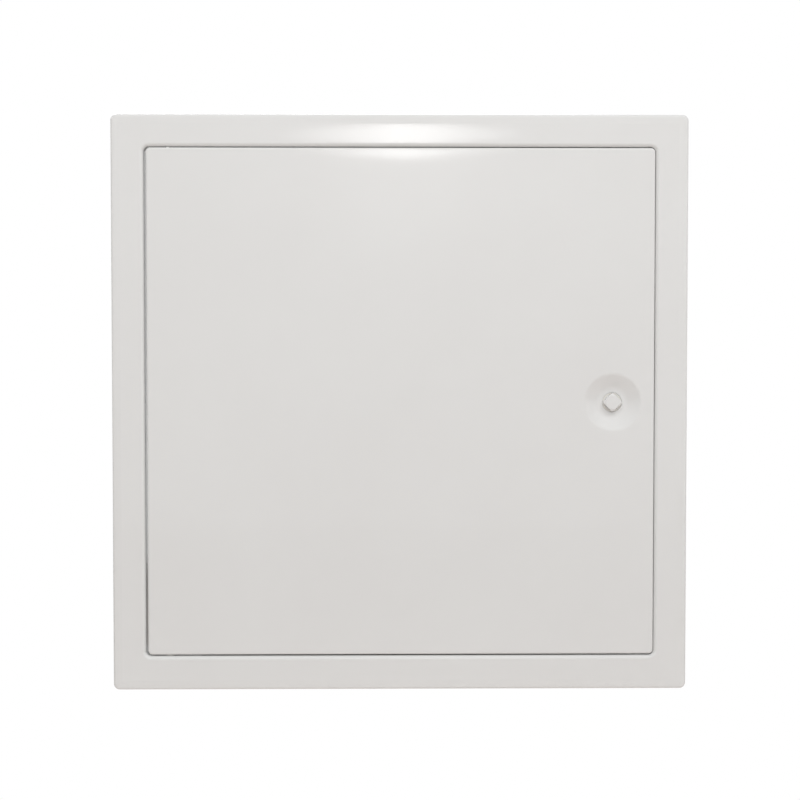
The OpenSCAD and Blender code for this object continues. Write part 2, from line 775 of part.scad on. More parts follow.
// Hexagon nut with turned corners
module cam_nut() {
    corner_r = nut_af / 2 / cos(30);
    turned = corner_r - nut_af / 2;
    color("silver") stand_up() translate(lock_at) difference() {
        intersection() {
            translate([0, 0, nut_back]) cylinder(r = corner_r, h = nut_h, $fn = 6);
            rotate_extrude() polygon([[0, nut_back], [nut_af / 2, nut_back],
                [corner_r, nut_back + turned / 2], [corner_r, washer_back - turned / 2],
                [nut_af / 2, washer_back], [0, washer_back]]);
        }
        translate([0, 0, nut_back - cut]) cylinder(r = thread_d / 2 + run_clear, h = nut_h + 2 * cut);
    }
}

frame();
top_stop();
bottom_stop();
lock_stop();
upper_hinge_plate();
lower_hinge_plate();
upper_left_anchor();
lower_left_anchor();
upper_right_anchor();
lower_right_anchor();
anchor_rivets();
door_panel();
upper_pin_bracket();
lower_pin_bracket();
lower_hinge_pin();
lower_pin_ring();
thrust_washer();
pin_spring();
upper_hinge_pin();
upper_pin_ring();
lock_bush();
lock_spindle();
wave_washer();
lock_cam();
cam_washer();
cam_nut();
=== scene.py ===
"""Looks of a sheet-steel access panel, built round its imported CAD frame.

The panel stands upright with its front towards -Y, in metres. Each sub-assembly is a class that
models its pieces with Blender's own tools, at the CAD's sizes and places, and dresses them.
"""

import json
import logging
import math
from collections.abc import Callable, Sequence
from dataclasses import dataclass
from enum import Enum

import bmesh
import bpy
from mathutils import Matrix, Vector


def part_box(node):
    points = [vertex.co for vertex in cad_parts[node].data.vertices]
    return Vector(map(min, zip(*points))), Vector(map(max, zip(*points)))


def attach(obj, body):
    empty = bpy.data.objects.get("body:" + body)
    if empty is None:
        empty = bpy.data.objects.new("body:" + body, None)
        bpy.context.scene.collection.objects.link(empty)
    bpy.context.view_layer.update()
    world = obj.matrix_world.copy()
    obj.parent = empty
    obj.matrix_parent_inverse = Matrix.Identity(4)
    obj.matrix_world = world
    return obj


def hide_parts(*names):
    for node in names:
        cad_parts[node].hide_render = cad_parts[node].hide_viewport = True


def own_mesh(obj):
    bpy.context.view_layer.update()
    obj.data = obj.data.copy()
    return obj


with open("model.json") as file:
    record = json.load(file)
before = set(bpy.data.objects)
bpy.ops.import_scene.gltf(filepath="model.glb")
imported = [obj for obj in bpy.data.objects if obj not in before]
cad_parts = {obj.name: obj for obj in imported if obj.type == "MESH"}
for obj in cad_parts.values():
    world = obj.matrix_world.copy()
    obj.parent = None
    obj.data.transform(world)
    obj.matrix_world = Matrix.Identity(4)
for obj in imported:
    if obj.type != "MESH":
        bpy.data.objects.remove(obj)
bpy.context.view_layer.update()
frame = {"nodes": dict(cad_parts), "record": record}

MM = 0.001
LOG = logging.getLogger("access_panel")

# Distance within which two points are one
CLOSE = 0.002 * MM
# Cosines from which an edge runs along an axis, a face looks along it, and a face is square to it
ALONG = 0.99
FACING = 0.9
SQUARE = 0.999
# Angles up to which faces make one flat or one smooth curve, and from which an edge is broken
FLAT_ANGLE = math.radians(1)
SMOOTH_ANGLE = math.radians(35)
BREAK_ANGLE = math.radians(50)
# How far a cutter reaches past what it cuts, and the length of a drill for one sheet
SPARE = 1.0 * MM
THROUGH = 10.0 * MM

Piece = bpy.types.Object
Tree = bpy.types.NodeTree
Node = bpy.types.Node
Edge = bmesh.types.BMEdge
Pair = tuple[float, float]
Triple = tuple[float, float, float]
Point = Sequence[float]
Profile = Sequence[Pair]


class Axis(Enum):
    """Axis of a hole, a fold or a turned piece, with the turn that lays a cylinder along it."""

    X = (0.0, math.pi / 2, 0.0)
    Y = (math.pi / 2, 0.0, 0.0)
    Z = (0.0, 0.0, 0.0)

    @property
    def number(self) -> int:
        """Place of the axis in a vector."""
        return "XYZ".index(self.name)

    def unit(self, length: float = 1.0) -> Vector:
        """Vector of this length along the axis."""
        return Vector([length * (place == self.number) for place in range(3)])


class Element(Enum):
    """Kind of mesh element that a selection takes."""

    EDGE = "edges"
    FACE = "faces"


class Bend(Enum):
    """Whether a run of insets comes up out of a face or sinks into it."""

    UP = 1.0
    DOWN = -1.0


class Shared(Enum):
    """What is kept where a tool meets a piece, by Blender's names."""

    JOINED = "UNION"
    CUT = "DIFFERENCE"
    COMMON = "INTERSECT"


class LampShape(Enum):
    """Outline of a flat lamp, by Blender's names."""

    ROUND = "ELLIPSE"
    STRAIGHT = "RECTANGLE"


def joint_place(name: str) -> Vector:
    """Point on a joint's axis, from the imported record."""
    joints = frame["record"]["behaviour"]["joints"]
    return Vector(next(joint["pos_m"] for joint in joints if joint["name"] == name))


HINGE = joint_place("door_swing")
LOCK = joint_place("lock_turn")
HINGE_AXIS = (HINGE.x, HINGE.y, 0.0)
LOCK_AXIS = (LOCK.x, 0.0, LOCK.z)


# Modelling


def clear_selection() -> None:
    """Leaves edit mode and deselects every object."""
    active = bpy.context.view_layer.objects.active
    if active is not None and active.mode == "EDIT":
        bpy.ops.object.mode_set(mode="OBJECT")
    bpy.ops.object.select_all(action="DESELECT")


def choose(piece: Piece) -> None:
    """Makes one piece the only selected and the active one.

    Args:
        piece: Piece to work on next.
    """
    clear_selection()
    piece.select_set(True)
    bpy.context.view_layer.objects.active = piece


def take(name: str) -> Piece:
    """Names the primitive just added, and puts its place, turn and scale into its mesh.

    Args:
        name: Name of the piece and of its mesh.

    Returns:
        The piece, at the origin.
    """
    piece = bpy.context.object
    piece.name = piece.data.name = name
    bpy.ops.object.transform_apply(location=True, rotation=True, scale=True)
    return piece


def edit(piece: Piece) -> None:
    """Opens one piece in edit mode, with nothing in it selected.

    Args:
        piece: Piece to open.
    """
    choose(piece)
    bpy.ops.object.mode_set(mode="EDIT")
    bpy.ops.mesh.select_all(action="DESELECT")


def select_mesh() -> None:
    """Selects the whole mesh in edit mode."""
    bpy.ops.mesh.select_all(action="SELECT")


def pick(piece: Piece, element: Element, test: Callable[..., bool]) -> None:
    """Selects the elements of a piece in edit mode that pass a test.

    Args:
        piece: Piece that is open in edit mode.
        element: Kind of element to select.
        test: Says of one element whether it is selected.
    """
    bpy.ops.mesh.select_mode(type=element.name)
    bpy.ops.mesh.select_all(action="DESELECT")
    mesh = bmesh.from_edit_mesh(piece.data)
    for item in getattr(mesh, element.value):
        item.select_set(test(item))
    mesh.select_flush_mode()
    bmesh.update_edit_mesh(piece.data)


def runs_along(edge: Edge, axis: Axis) -> bool:
    """Says whether an edge runs along an axis."""
    return abs((edge.verts[0].co - edge.verts[1].co).normalized()[axis.number]) > ALONG


def lies_at(edge: Edge, axis: Axis, place: float) -> bool:
    """Says whether both ends of an edge are at one place along an axis."""
    return all(abs(vert.co[axis.number] - place) < CLOSE for vert in edge.verts)


def merge_doubles(distance: float = CLOSE) -> None:
    """Merges the selected points of the mesh in edit mode that are this close."""
    bpy.ops.mesh.remove_doubles(threshold=distance)


def close_seams() -> None:
    """Merges the doubles of the mesh in edit mode and turns its faces outwards."""
    select_mesh()
    merge_doubles()
    bpy.ops.mesh.normals_make_consistent(inside=False)


def clear_flats() -> None:
    """Dissolves the edges and corners within the flats of the mesh in edit mode."""
    select_mesh()
    bpy.ops.mesh.dissolve_limited(angle_limit=FLAT_ANGLE)


def pull(move: Point) -> None:
    """Extrudes what is selected in edit mode by a move."""
    bpy.ops.mesh.extrude_region_move(TRANSFORM_OT_translate={"value": move})


def bevel(width: float, steps: int) -> None:
    """Rounds the edges that are selected in edit mode."""
    bpy.ops.mesh.bevel(offset=width, segments=steps, affect="EDGES", clamp_overlap=False)


def apply_modifier(piece: Piece, kind: str, **settings: object) -> None:
    """Adds a modifier to a piece and applies it.

    Args:
        piece: Piece to change.
        kind: Blender's name for the kind of modifier.
        settings: Values of the modifier's properties.
    """
    choose(piece)
    modifier = piece.modifiers.new(kind.lower(), kind)
    for key, value in settings.items():
        setattr(modifier, key, value)
    bpy.ops.object.modifier_apply(modifier=modifier.name)


def thicken(piece: Piece, sheet: float) -> None:
    """Gives a skin the thickness of its sheet, towards its back."""
    apply_modifier(piece, "SOLIDIFY", thickness=sheet, offset=-1.0, use_even_offset=True,
                   use_quality_normals=True)


def add_slab(name: str, low: Point, high: Point) -> Piece:
    """Adds a cube that fills a box.

    Args:
        name: Name of the piece.
        low: Lowest corner of the box.
        high: Highest corner of the box.

    Returns:
        The piece.
    """
    clear_selection()
    middle = [(a + b) / 2 for a, b in zip(low, high)]
    size = [b - a for a, b in zip(low, high)]
    bpy.ops.mesh.primitive_cube_add(size=1, location=middle, scale=size)
    return take(name)


def add_bar(name: str, axis: Axis, radius: float, length: float, middle: Point, sides: int) -> Piece:
    """Adds a round bar.

    Args:
        name: Name of the piece.
        axis: Axis that the bar runs along.
        radius: Radius of the bar.
        length: Length of the bar.
        middle: Middle of the bar.
        sides: Faces round the bar.

    Returns:
        The piece.
    """
    clear_selection()
    bpy.ops.mesh.primitive_cylinder_add(
        vertices=sides, radius=radius, depth=length, location=middle, rotation=axis.value)
    return take(name)


def round_edges(piece: Piece, axis: Axis, radius: float, steps: int = 10) -> None:
    """Rounds the edges of a slab that run along one axis, and stays in edit mode.

    Args:
        piece: Slab to round.
        axis: Axis that the edges run along.
        radius: Radius of the corners.
        steps: Faces round a corner.
    """
    edit(piece)
    pick(piece, Element.EDGE, lambda e: runs_along(e, axis))
    bevel(radius, steps)


def inset(run: float, depth: float) -> None:
    """Insets the selected face by a run, and raises it by a depth."""
    bpy.ops.mesh.inset(thickness=run, depth=depth, use_even_offset=True)


def even_steps(end: float, steps: int) -> list[float]:
    """Values from 0 to an end, in equal steps."""
    return [end * step / steps for step in range(steps + 1)]


def bend_face(bend: Bend, radius: float, start: float, end: float, steps: int) -> None:
    """Insets the selected face along an arc, as a folding tool bends the sheet round it.

    Args:
        bend: Whether the arc rises out of the face or sinks into it.
        radius: Radius of the arc.
        start: Slope at the arc's outer end, in degrees from the face's plane.
        end: Slope at its inner end.
        steps: Insets along the arc.
    """
    slopes = [math.radians(start + turned) for turned in even_steps(end - start, steps)]
    for a, b in zip(slopes, slopes[1:]):
        inset(radius * abs(math.sin(b) - math.sin(a)),
              bend.value * radius * abs(math.cos(b) - math.cos(a)))


def fold_angle(name: str, box: tuple[Vector, Vector], flat: tuple[Axis, int], leg: tuple[Axis, int],
               sheet: float, bend_r: float) -> Piece:
    """Folds an angle out of a strip of sheet, so that it fills a box.

    Args:
        name: Name of the piece.
        box: Lowest and highest corner of the angle.
        flat: Axis that its first side runs along, and the end of the box where the fold is.
        leg: The same for its second side.
        sheet: Thickness of the sheet.
        bend_r: Outside radius of the fold.

    Returns:
        The angle, in edit mode.
    """
    (axis_a, end_a), (axis_b, end_b) = flat, leg
    a, b = axis_a.number, axis_b.number
    ends = {-1: box[0], 1: box[1]}
    outer = (ends[end_a][a], ends[end_b][b])
    inner = (outer[0] - end_a * sheet, outer[1] - end_b * sheet)
    strip = {side: corner.copy() for side, corner in ends.items()}
    strip[-end_b][b] = inner[1]
    piece = add_slab(name, strip[-1], strip[1])
    edit(piece)
    select_mesh()
    bpy.ops.mesh.bisect(plane_co=axis_a.unit(inner[0]), plane_no=axis_a.unit())
    pick(piece, Element.FACE, lambda f: f.normal[b] * end_b < -FACING
         and abs(f.calc_center_median()[a] - outer[0]) < sheet)
    pull(axis_b.unit(ends[-end_b][b] - inner[1]))
    clear_flats()
    for (place_a, place_b), radius in ((outer, bend_r), (inner, bend_r - sheet)):
        pick(piece, Element.EDGE,
             lambda e: lies_at(e, axis_a, place_a) and lies_at(e, axis_b, place_b))
        bevel(radius, steps=6)
    return piece


def combine(piece: Piece, tool: Piece, kept: Shared) -> None:
    """Joins a tool's solid to a piece, cuts it out or keeps what both share, and removes the tool.

    Args:
        piece: Piece to change.
        tool: Closed solid that is used up.
        kept: What stays.
    """
    apply_modifier(piece, "BOOLEAN", operation=kept.value, object=tool, solver="EXACT")
    bpy.data.objects.remove(tool)


def drill(piece: Piece, axis: Axis, radius: float, places: Sequence[Point], length: float) -> None:
    """Cuts round holes through a piece, or shallow round marks into it.

    Args:
        piece: Piece to drill.
        axis: Axis that the holes run along.
        radius: Radius of the holes.
        places: Middle of each hole's cutter.
        length: Length of the cutters.
    """
    cutters = [add_bar("hole_cutter", axis, radius, length, place, sides=48) for place in places]
    combine(piece, weld(cutters, "hole_cutters"), Shared.CUT)


def turn(name: str, profile: Profile, axis: Axis, centre: Point, steps: int = 64) -> Piece:
    """Turns a profile round an axis, as on a lathe.

    Args:
        name: Name of the piece.
        profile: Radius and place along the axis of each point, in order.
        axis: Axis of the lathe.
        centre: Point on the axis from which places along it count.
        steps: Faces round the piece.

    Returns:
        The turned piece, which is closed where the profile starts and ends on the axis or in itself.
    """
    out = Axis.Z.unit() if axis is Axis.X else Axis.X.unit()
    points = [Vector(centre) + out * r + axis.unit(h) for r, h in profile]
    clear_selection()
    bpy.ops.mesh.primitive_plane_add(size=MM, location=points[0])
    piece = take(name)
    edit(piece)
    bpy.ops.mesh.select_mode(type="VERT")
    select_mesh()
    bpy.ops.mesh.merge(type="CENTER")
    for a, b in zip(points, points[1:]):
        pull(b - a)
    select_mesh()
    bpy.ops.mesh.spin(steps=steps, angle=2 * math.pi, center=centre, axis=axis.unit())
    close_seams()
    clear_selection()
    return piece


def turn_ring(name: str, radii: Pair, ends: Pair, chamfer: float, axis: Axis, centre: Point) -> Piece:
    """Turns a flat ring with a chamfer round its outside.

    Args:
        name: Name of the piece.
        radii: Radius of the bore and of the outside.
        ends: Places of its two faces along the axis.
        chamfer: Width of the chamfers.
        axis: Axis of the lathe.
        centre: Point on the axis from which places along it count.

    Returns:
        The ring.
    """
    (bore, out), (low, high) = radii, ends
    profile = [(bore, low), (out - chamfer, low), (out, low + chamfer), (out, high - chamfer),
               (out - chamfer, high), (bore, high), (bore, low)]
    return turn(name, profile, axis, centre)


def place_copy(piece: Piece, name: str, flips: Triple = (1, 1, 1), shift: Triple = (0, 0, 0)) -> Piece:
    """Copies a piece with its own mesh, mirrored through the origin's planes and moved.

    Args:
        piece: Piece to copy.
        name: Name of the copy.
        flips: -1 for each axis that is mirrored, 1 for the others.
        shift: Move after that.

    Returns:
        The copy.
    """
    choose(piece)
    bpy.ops.object.duplicate()
    copy = bpy.context.object
    copy.name = copy.data.name = name
    edit(copy)
    select_mesh()
    bpy.ops.transform.resize(value=flips, center_override=(0, 0, 0))
    bpy.ops.transform.translate(value=shift)
    bpy.ops.mesh.normals_make_consistent(inside=False)
    clear_selection()
    return copy


def weld(pieces: Sequence[Piece], name: str) -> Piece:
    """Joins pieces into one object.

    Args:
        pieces: Pieces to join, of which the first takes in the others.
        name: Name of the result.

    Returns:
        The joined piece.
    """
    choose(pieces[0])
    for piece in pieces[1:]:
        piece.select_set(True)
        bpy.ops.object.join()
    pieces[0].name = pieces[0].data.name = name
    return pieces[0]


def finish_surface(piece: Piece, edge: float) -> None:
    """Breaks a piece's sharp edges, smooths its curves and keeps its flats flat.

    Args:
        piece: Piece to finish.
        edge: Width of the broken edges.
    """
    apply_modifier(piece, "BEVEL", width=edge, segments=2, limit_method="ANGLE",
                   angle_limit=BREAK_ANGLE, use_clamp_overlap=True)
    bpy.ops.object.shade_smooth_by_angle(angle=SMOOTH_ANGLE)
    apply_modifier(piece, "WEIGHTED_NORMAL", keep_sharp=True)


# Finishes


def linear(hex_code: str) -> tuple[float, float, float, float]:
    """Turns an sRGB hex colour to linear red, green, blue and alpha."""
    shares = [int(hex_code[i:i + 2], 16) / 255 for i in (1, 3, 5)]
    return (*[c / 12.92 if c <= 0.04045 else ((c + 0.055) / 1.055) ** 2.4 for c in shares], 1.0)


def set_node(tree: Tree, node: Node, settings: dict | None = None, links: dict | None = None) -> Node:
    """Sets a node's values and links its inputs.

    Args:
        tree: Tree that holds the node.
        node: Node to set.
        settings: Values by the name of a property, or by the name or number of an input.
        links: Source node and output by the name or number of an input.

    Returns:
        The node.
    """
    for key, value in (settings or {}).items():
        if isinstance(key, str) and hasattr(node, key):
            setattr(node, key, value)
        else:
            node.inputs[key].default_value = value
    for key, (source, output) in (links or {}).items():
        tree.links.new(source.outputs[output], node.inputs[key])
    return node


def add_node(tree: Tree, kind: str, settings: dict | None = None, links: dict | None = None) -> Node:
    """Adds a node with its settings and links, given as for set_node, and returns it."""
    return set_node(tree, tree.nodes.new(kind), settings, links)


def per_metre(size_mm: float) -> float:
    """Scale of a pattern on Object coordinates whose features are this many millimetres wide."""
    return 1 / (size_mm * MM)


@dataclass(frozen=True)
class Finish:
    """A material, how its surface was made, and the record's slot that it belongs to."""

    name: str
    slot: str

    def make(self) -> bpy.types.Material:
        """Makes the Blender material, once.

        Returns:
            The material.
        """
        made = bpy.data.materials.get(self.name)
        if made is None:
            made = bpy.data.materials.new(self.name)
            made.use_nodes = True
            tree = made.node_tree
            coords = add_node(tree, "ShaderNodeTexCoord")
            self.dress(tree, tree.nodes["Principled BSDF"], coords)
        return made

    def dress(self, tree: Tree, shader: Node, coords: Node) -> None:
        """Sets the shader's sockets and adds the pattern nodes.

        Args:
            tree: Material's node tree.
            shader: Its shader.
            coords: Node that gives Object coordinates.
        """
        raise NotImplementedError


@dataclass(frozen=True)
class PowderCoat(Finish):
    """Polyester powder coat, sprayed dry and baked on steel.

    The pigmented film scatters softly, and its levelled skin gives small, sharp highlights that a
    faint orange peel ruffles.
    """

    colour: str = "#DEDFDE"
    colour_thin: str = "#DADAD9"
    drift_mm: float = 70.0
    smooth: float = 0.22
    rough: float = 0.28
    peel_mm: float = 1.8
    peel_height: float = 0.02 * MM
    peel_strength: float = 0.15
    ior: float = 1.5
    skin: float = 0.35
    skin_rough: float = 0.04

    def dress(self, tree: Tree, shader: Node, coords: Node) -> None:
        """Sets a slow drift of tone and gloss, the orange peel and the glossy skin.

        Args:
            tree: Material's node tree.
            shader: Its shader.
            coords: Node that gives Object coordinates.
        """
        drift = add_node(tree, "ShaderNodeTexNoise", {"Scale": per_metre(self.drift_mm), "Detail": 3.0},
                         {"Vector": (coords, "Object")})
        tone = add_node(tree, "ShaderNodeMix",
                        {"data_type": "RGBA", 6: linear(self.colour), 7: linear(self.colour_thin)},
                        {0: (drift, "Fac")})
        gloss = add_node(tree, "ShaderNodeMapRange", {"To Min": self.smooth, "To Max": self.rough},
                         {"Value": (drift, "Fac")})
        peel = add_node(tree, "ShaderNodeTexNoise",
                        {"Scale": per_metre(self.peel_mm), "Detail": 1.0, "Roughness": 0.4},
                        {"Vector": (coords, "Object")})
        bump = add_node(tree, "ShaderNodeBump",
                        {"Strength": self.peel_strength, "Distance": self.peel_height},
                        {"Height": (peel, "Fac")})
        set_node(tree, shader,
                 {"IOR": self.ior, "Coat Weight": self.skin, "Coat Roughness": self.skin_rough},
                 {"Base Color": (tone, 2), "Roughness": (gloss, 0), "Normal": (bump, 0),
                  "Coat Normal": (bump, 0)})


@dataclass(frozen=True)
class PlatedSteel(Finish):
    """Bright zinc plating on rolled steel: cool grey metal with faint lines along the rolling."""

    colour: str = "#BFC3C7"
    colour_dull: str = "#A9ADB1"
    line_mm: float = 0.5
    smooth: float = 0.26
    rough: float = 0.42
    stretch: float = 0.05
    line_height: float = 0.01 * MM
    line_strength: float = 0.2

    def dress(self, tree: Tree, shader: Node, coords: Node) -> None:
        """Sets rolling lines, stretched along the panel's height, in tone, gloss and relief.

        Args:
            tree: Material's node tree.
            shader: Its shader.
            coords: Node that gives Object coordinates.
        """
        turned = add_node(tree, "ShaderNodeMapping", {"Scale": (1.0, 1.0, self.stretch)},
                          {"Vector": (coords, "Object")})
        lines = add_node(tree, "ShaderNodeTexNoise", {"Scale": per_metre(self.line_mm), "Detail": 4.0},
                         {"Vector": (turned, "Vector")})
        tone = add_node(tree, "ShaderNodeMix",
                        {"data_type": "RGBA", 6: linear(self.colour), 7: linear(self.colour_dull)},
                        {0: (lines, "Fac")})
        gloss = add_node(tree, "ShaderNodeMapRange", {"To Min": self.smooth, "To Max": self.rough},
                         {"Value": (lines, "Fac")})
        bump = add_node(tree, "ShaderNodeBump",
                        {"Strength": self.line_strength, "Distance": self.line_height},
                        {"Height": (lines, "Fac")})
        set_node(tree, shader, {"Metallic": 1.0},
                 {"Base Color": (tone, 2), "Roughness": (gloss, 0), "Normal": (bump, 0)})


@dataclass(frozen=True)
class GalvanisedStrip(Finish):
    """Hot-dip galvanised strip: dull zinc grey with the flat crystals of its spangle."""

    colour: str = "#B4B8BA"
    colour_dull: str = "#93989B"
    spangle_mm: float = 5.0
    smooth: float = 0.32
    rough: float = 0.55

    def dress(self, tree: Tree, shader: Node, coords: Node) -> None:
        """Sets one tone and one gloss to each crystal of the spangle.

        Args:
            tree: Material's node tree.
            shader: Its shader.
            coords: Node that gives Object coordinates.
        """
        spangle = add_node(tree, "ShaderNodeTexVoronoi", {"Scale": per_metre(self.spangle_mm)},
                           {"Vector": (coords, "Object")})
        crystal = add_node(tree, "ShaderNodeSeparateColor", None, {"Color": (spangle, "Color")})
        tone = add_node(tree, "ShaderNodeMix",
                        {"data_type": "RGBA", 6: linear(self.colour), 7: linear(self.colour_dull)},
                        {0: (crystal, "Red")})
        gloss = add_node(tree, "ShaderNodeMapRange", {"To Min": self.smooth, "To Max": self.rough},
                         {"Value": (crystal, "Green")})
        set_node(tree, shader, {"Metallic": 1.0},
                 {"Base Color": (tone, 2), "Roughness": (gloss, 0)})


@dataclass(frozen=True)
class Nylon(Finish):
    """Natural nylon, injection moulded: milky white, satin, with the mould's fine spark grain."""

    colour: str = "#EAE9E4"
    colour_deep: str = "#E3E1DA"
    grain_mm: float = 0.4
    grain_height: float = 0.02 * MM
    grain_strength: float = 0.3
    rough: float = 0.45
    ior: float = 1.53

    def dress(self, tree: Tree, shader: Node, coords: Node) -> None:
        """Sets the mould's grain and a faint drift of tone.

        Args:
            tree: Material's node tree.
            shader: Its shader.
            coords: Node that gives Object coordinates.
        """
        grain = add_node(tree, "ShaderNodeTexNoise", {"Scale": per_metre(self.grain_mm), "Detail": 2.0},
                         {"Vector": (coords, "Object")})
        tone = add_node(tree, "ShaderNodeMix",
                        {"data_type": "RGBA", 6: linear(self.colour), 7: linear(self.colour_deep)},
                        {0: (grain, "Fac")})
        bump = add_node(tree, "ShaderNodeBump",
                        {"Strength": self.grain_strength, "Distance": self.grain_height},
                        {"Height": (grain, "Fac")})
        set_node(tree, shader, {"Roughness": self.rough, "IOR": self.ior},
                 {"Base Color": (tone, 2), "Normal": (bump, 0)})


COATED = PowderCoat("powder_coated_steel", "coated_steel")
PLATED = PlatedSteel("zinc_plated_steel", "plated_steel")
GALVANISED = GalvanisedStrip("galvanised_strip", "galvanised_steel")
RIVET = PlatedSteel("set_rivet_steel", "rivet_steel", "#B6B8BA", "#9C9EA0",
                    line_mm=0.8, smooth=0.3, rough=0.45)
BRIGHT = PlatedSteel("bright_drawn_rod", "bright_steel", "#CBCBCC", "#B5B5B7",
                     line_mm=0.25, smooth=0.16, rough=0.3)
SPRING = PlatedSteel("oiled_spring_steel", "spring_steel", "#85868A", "#6C6D71",
                     line_mm=0.3, smooth=0.28, rough=0.4)
NYLON = Nylon("moulded_nylon", "nylon")


# Sub-assemblies


@dataclass
class SubAssembly:
    """Pieces that ride on one body of the part."""

    body: str

    def fit(self, piece: Piece, node: str, finish: Finish, edge: float) -> Piece:
        """Finishes a piece and puts it in the place of a CAD node.

        Args:
            piece: Modelled piece.
            node: CAD node that it stands for.
            finish: Its finish.
            edge: Width of its broken edges, or 0 for a piece whose surface is done.

        Returns:
            The piece.
        """
        if edge:
            finish_surface(piece, edge)
        piece.data.materials.clear()
        piece.data.materials.append(finish.make())
        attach(piece, self.body)
        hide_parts(node)
        LOG.info("%s: %d faces, for %s", piece.name, len(piece.data.polygons), node)
        return piece

    def keep(self, node: str, finish: Finish) -> None:
        """Dresses a CAD node whose shape is right.

        Args:
            node: CAD node.
            finish: Its finish.
        """
        for held in frame["nodes"][node].material_slots:
            held.material = finish.make()
        LOG.info("%s: kept, in %s", node, finish.name)


@dataclass
class WeldMarks:
    """Round marks that a spot welder's electrode leaves in sheet."""

    radius: float = 2.3 * MM
    depth: float = 0.15 * MM

    def press(self, piece: Piece, axis: Axis, places: Sequence[Point]) -> None:
        """Presses the marks into a piece.

        Args:
            piece: Welded piece.
            axis: Axis that the electrode pressed along.
            places: Middle of each mark on the sheet's surface.
        """
        drill(piece, axis, self.radius, places, 2 * self.depth)


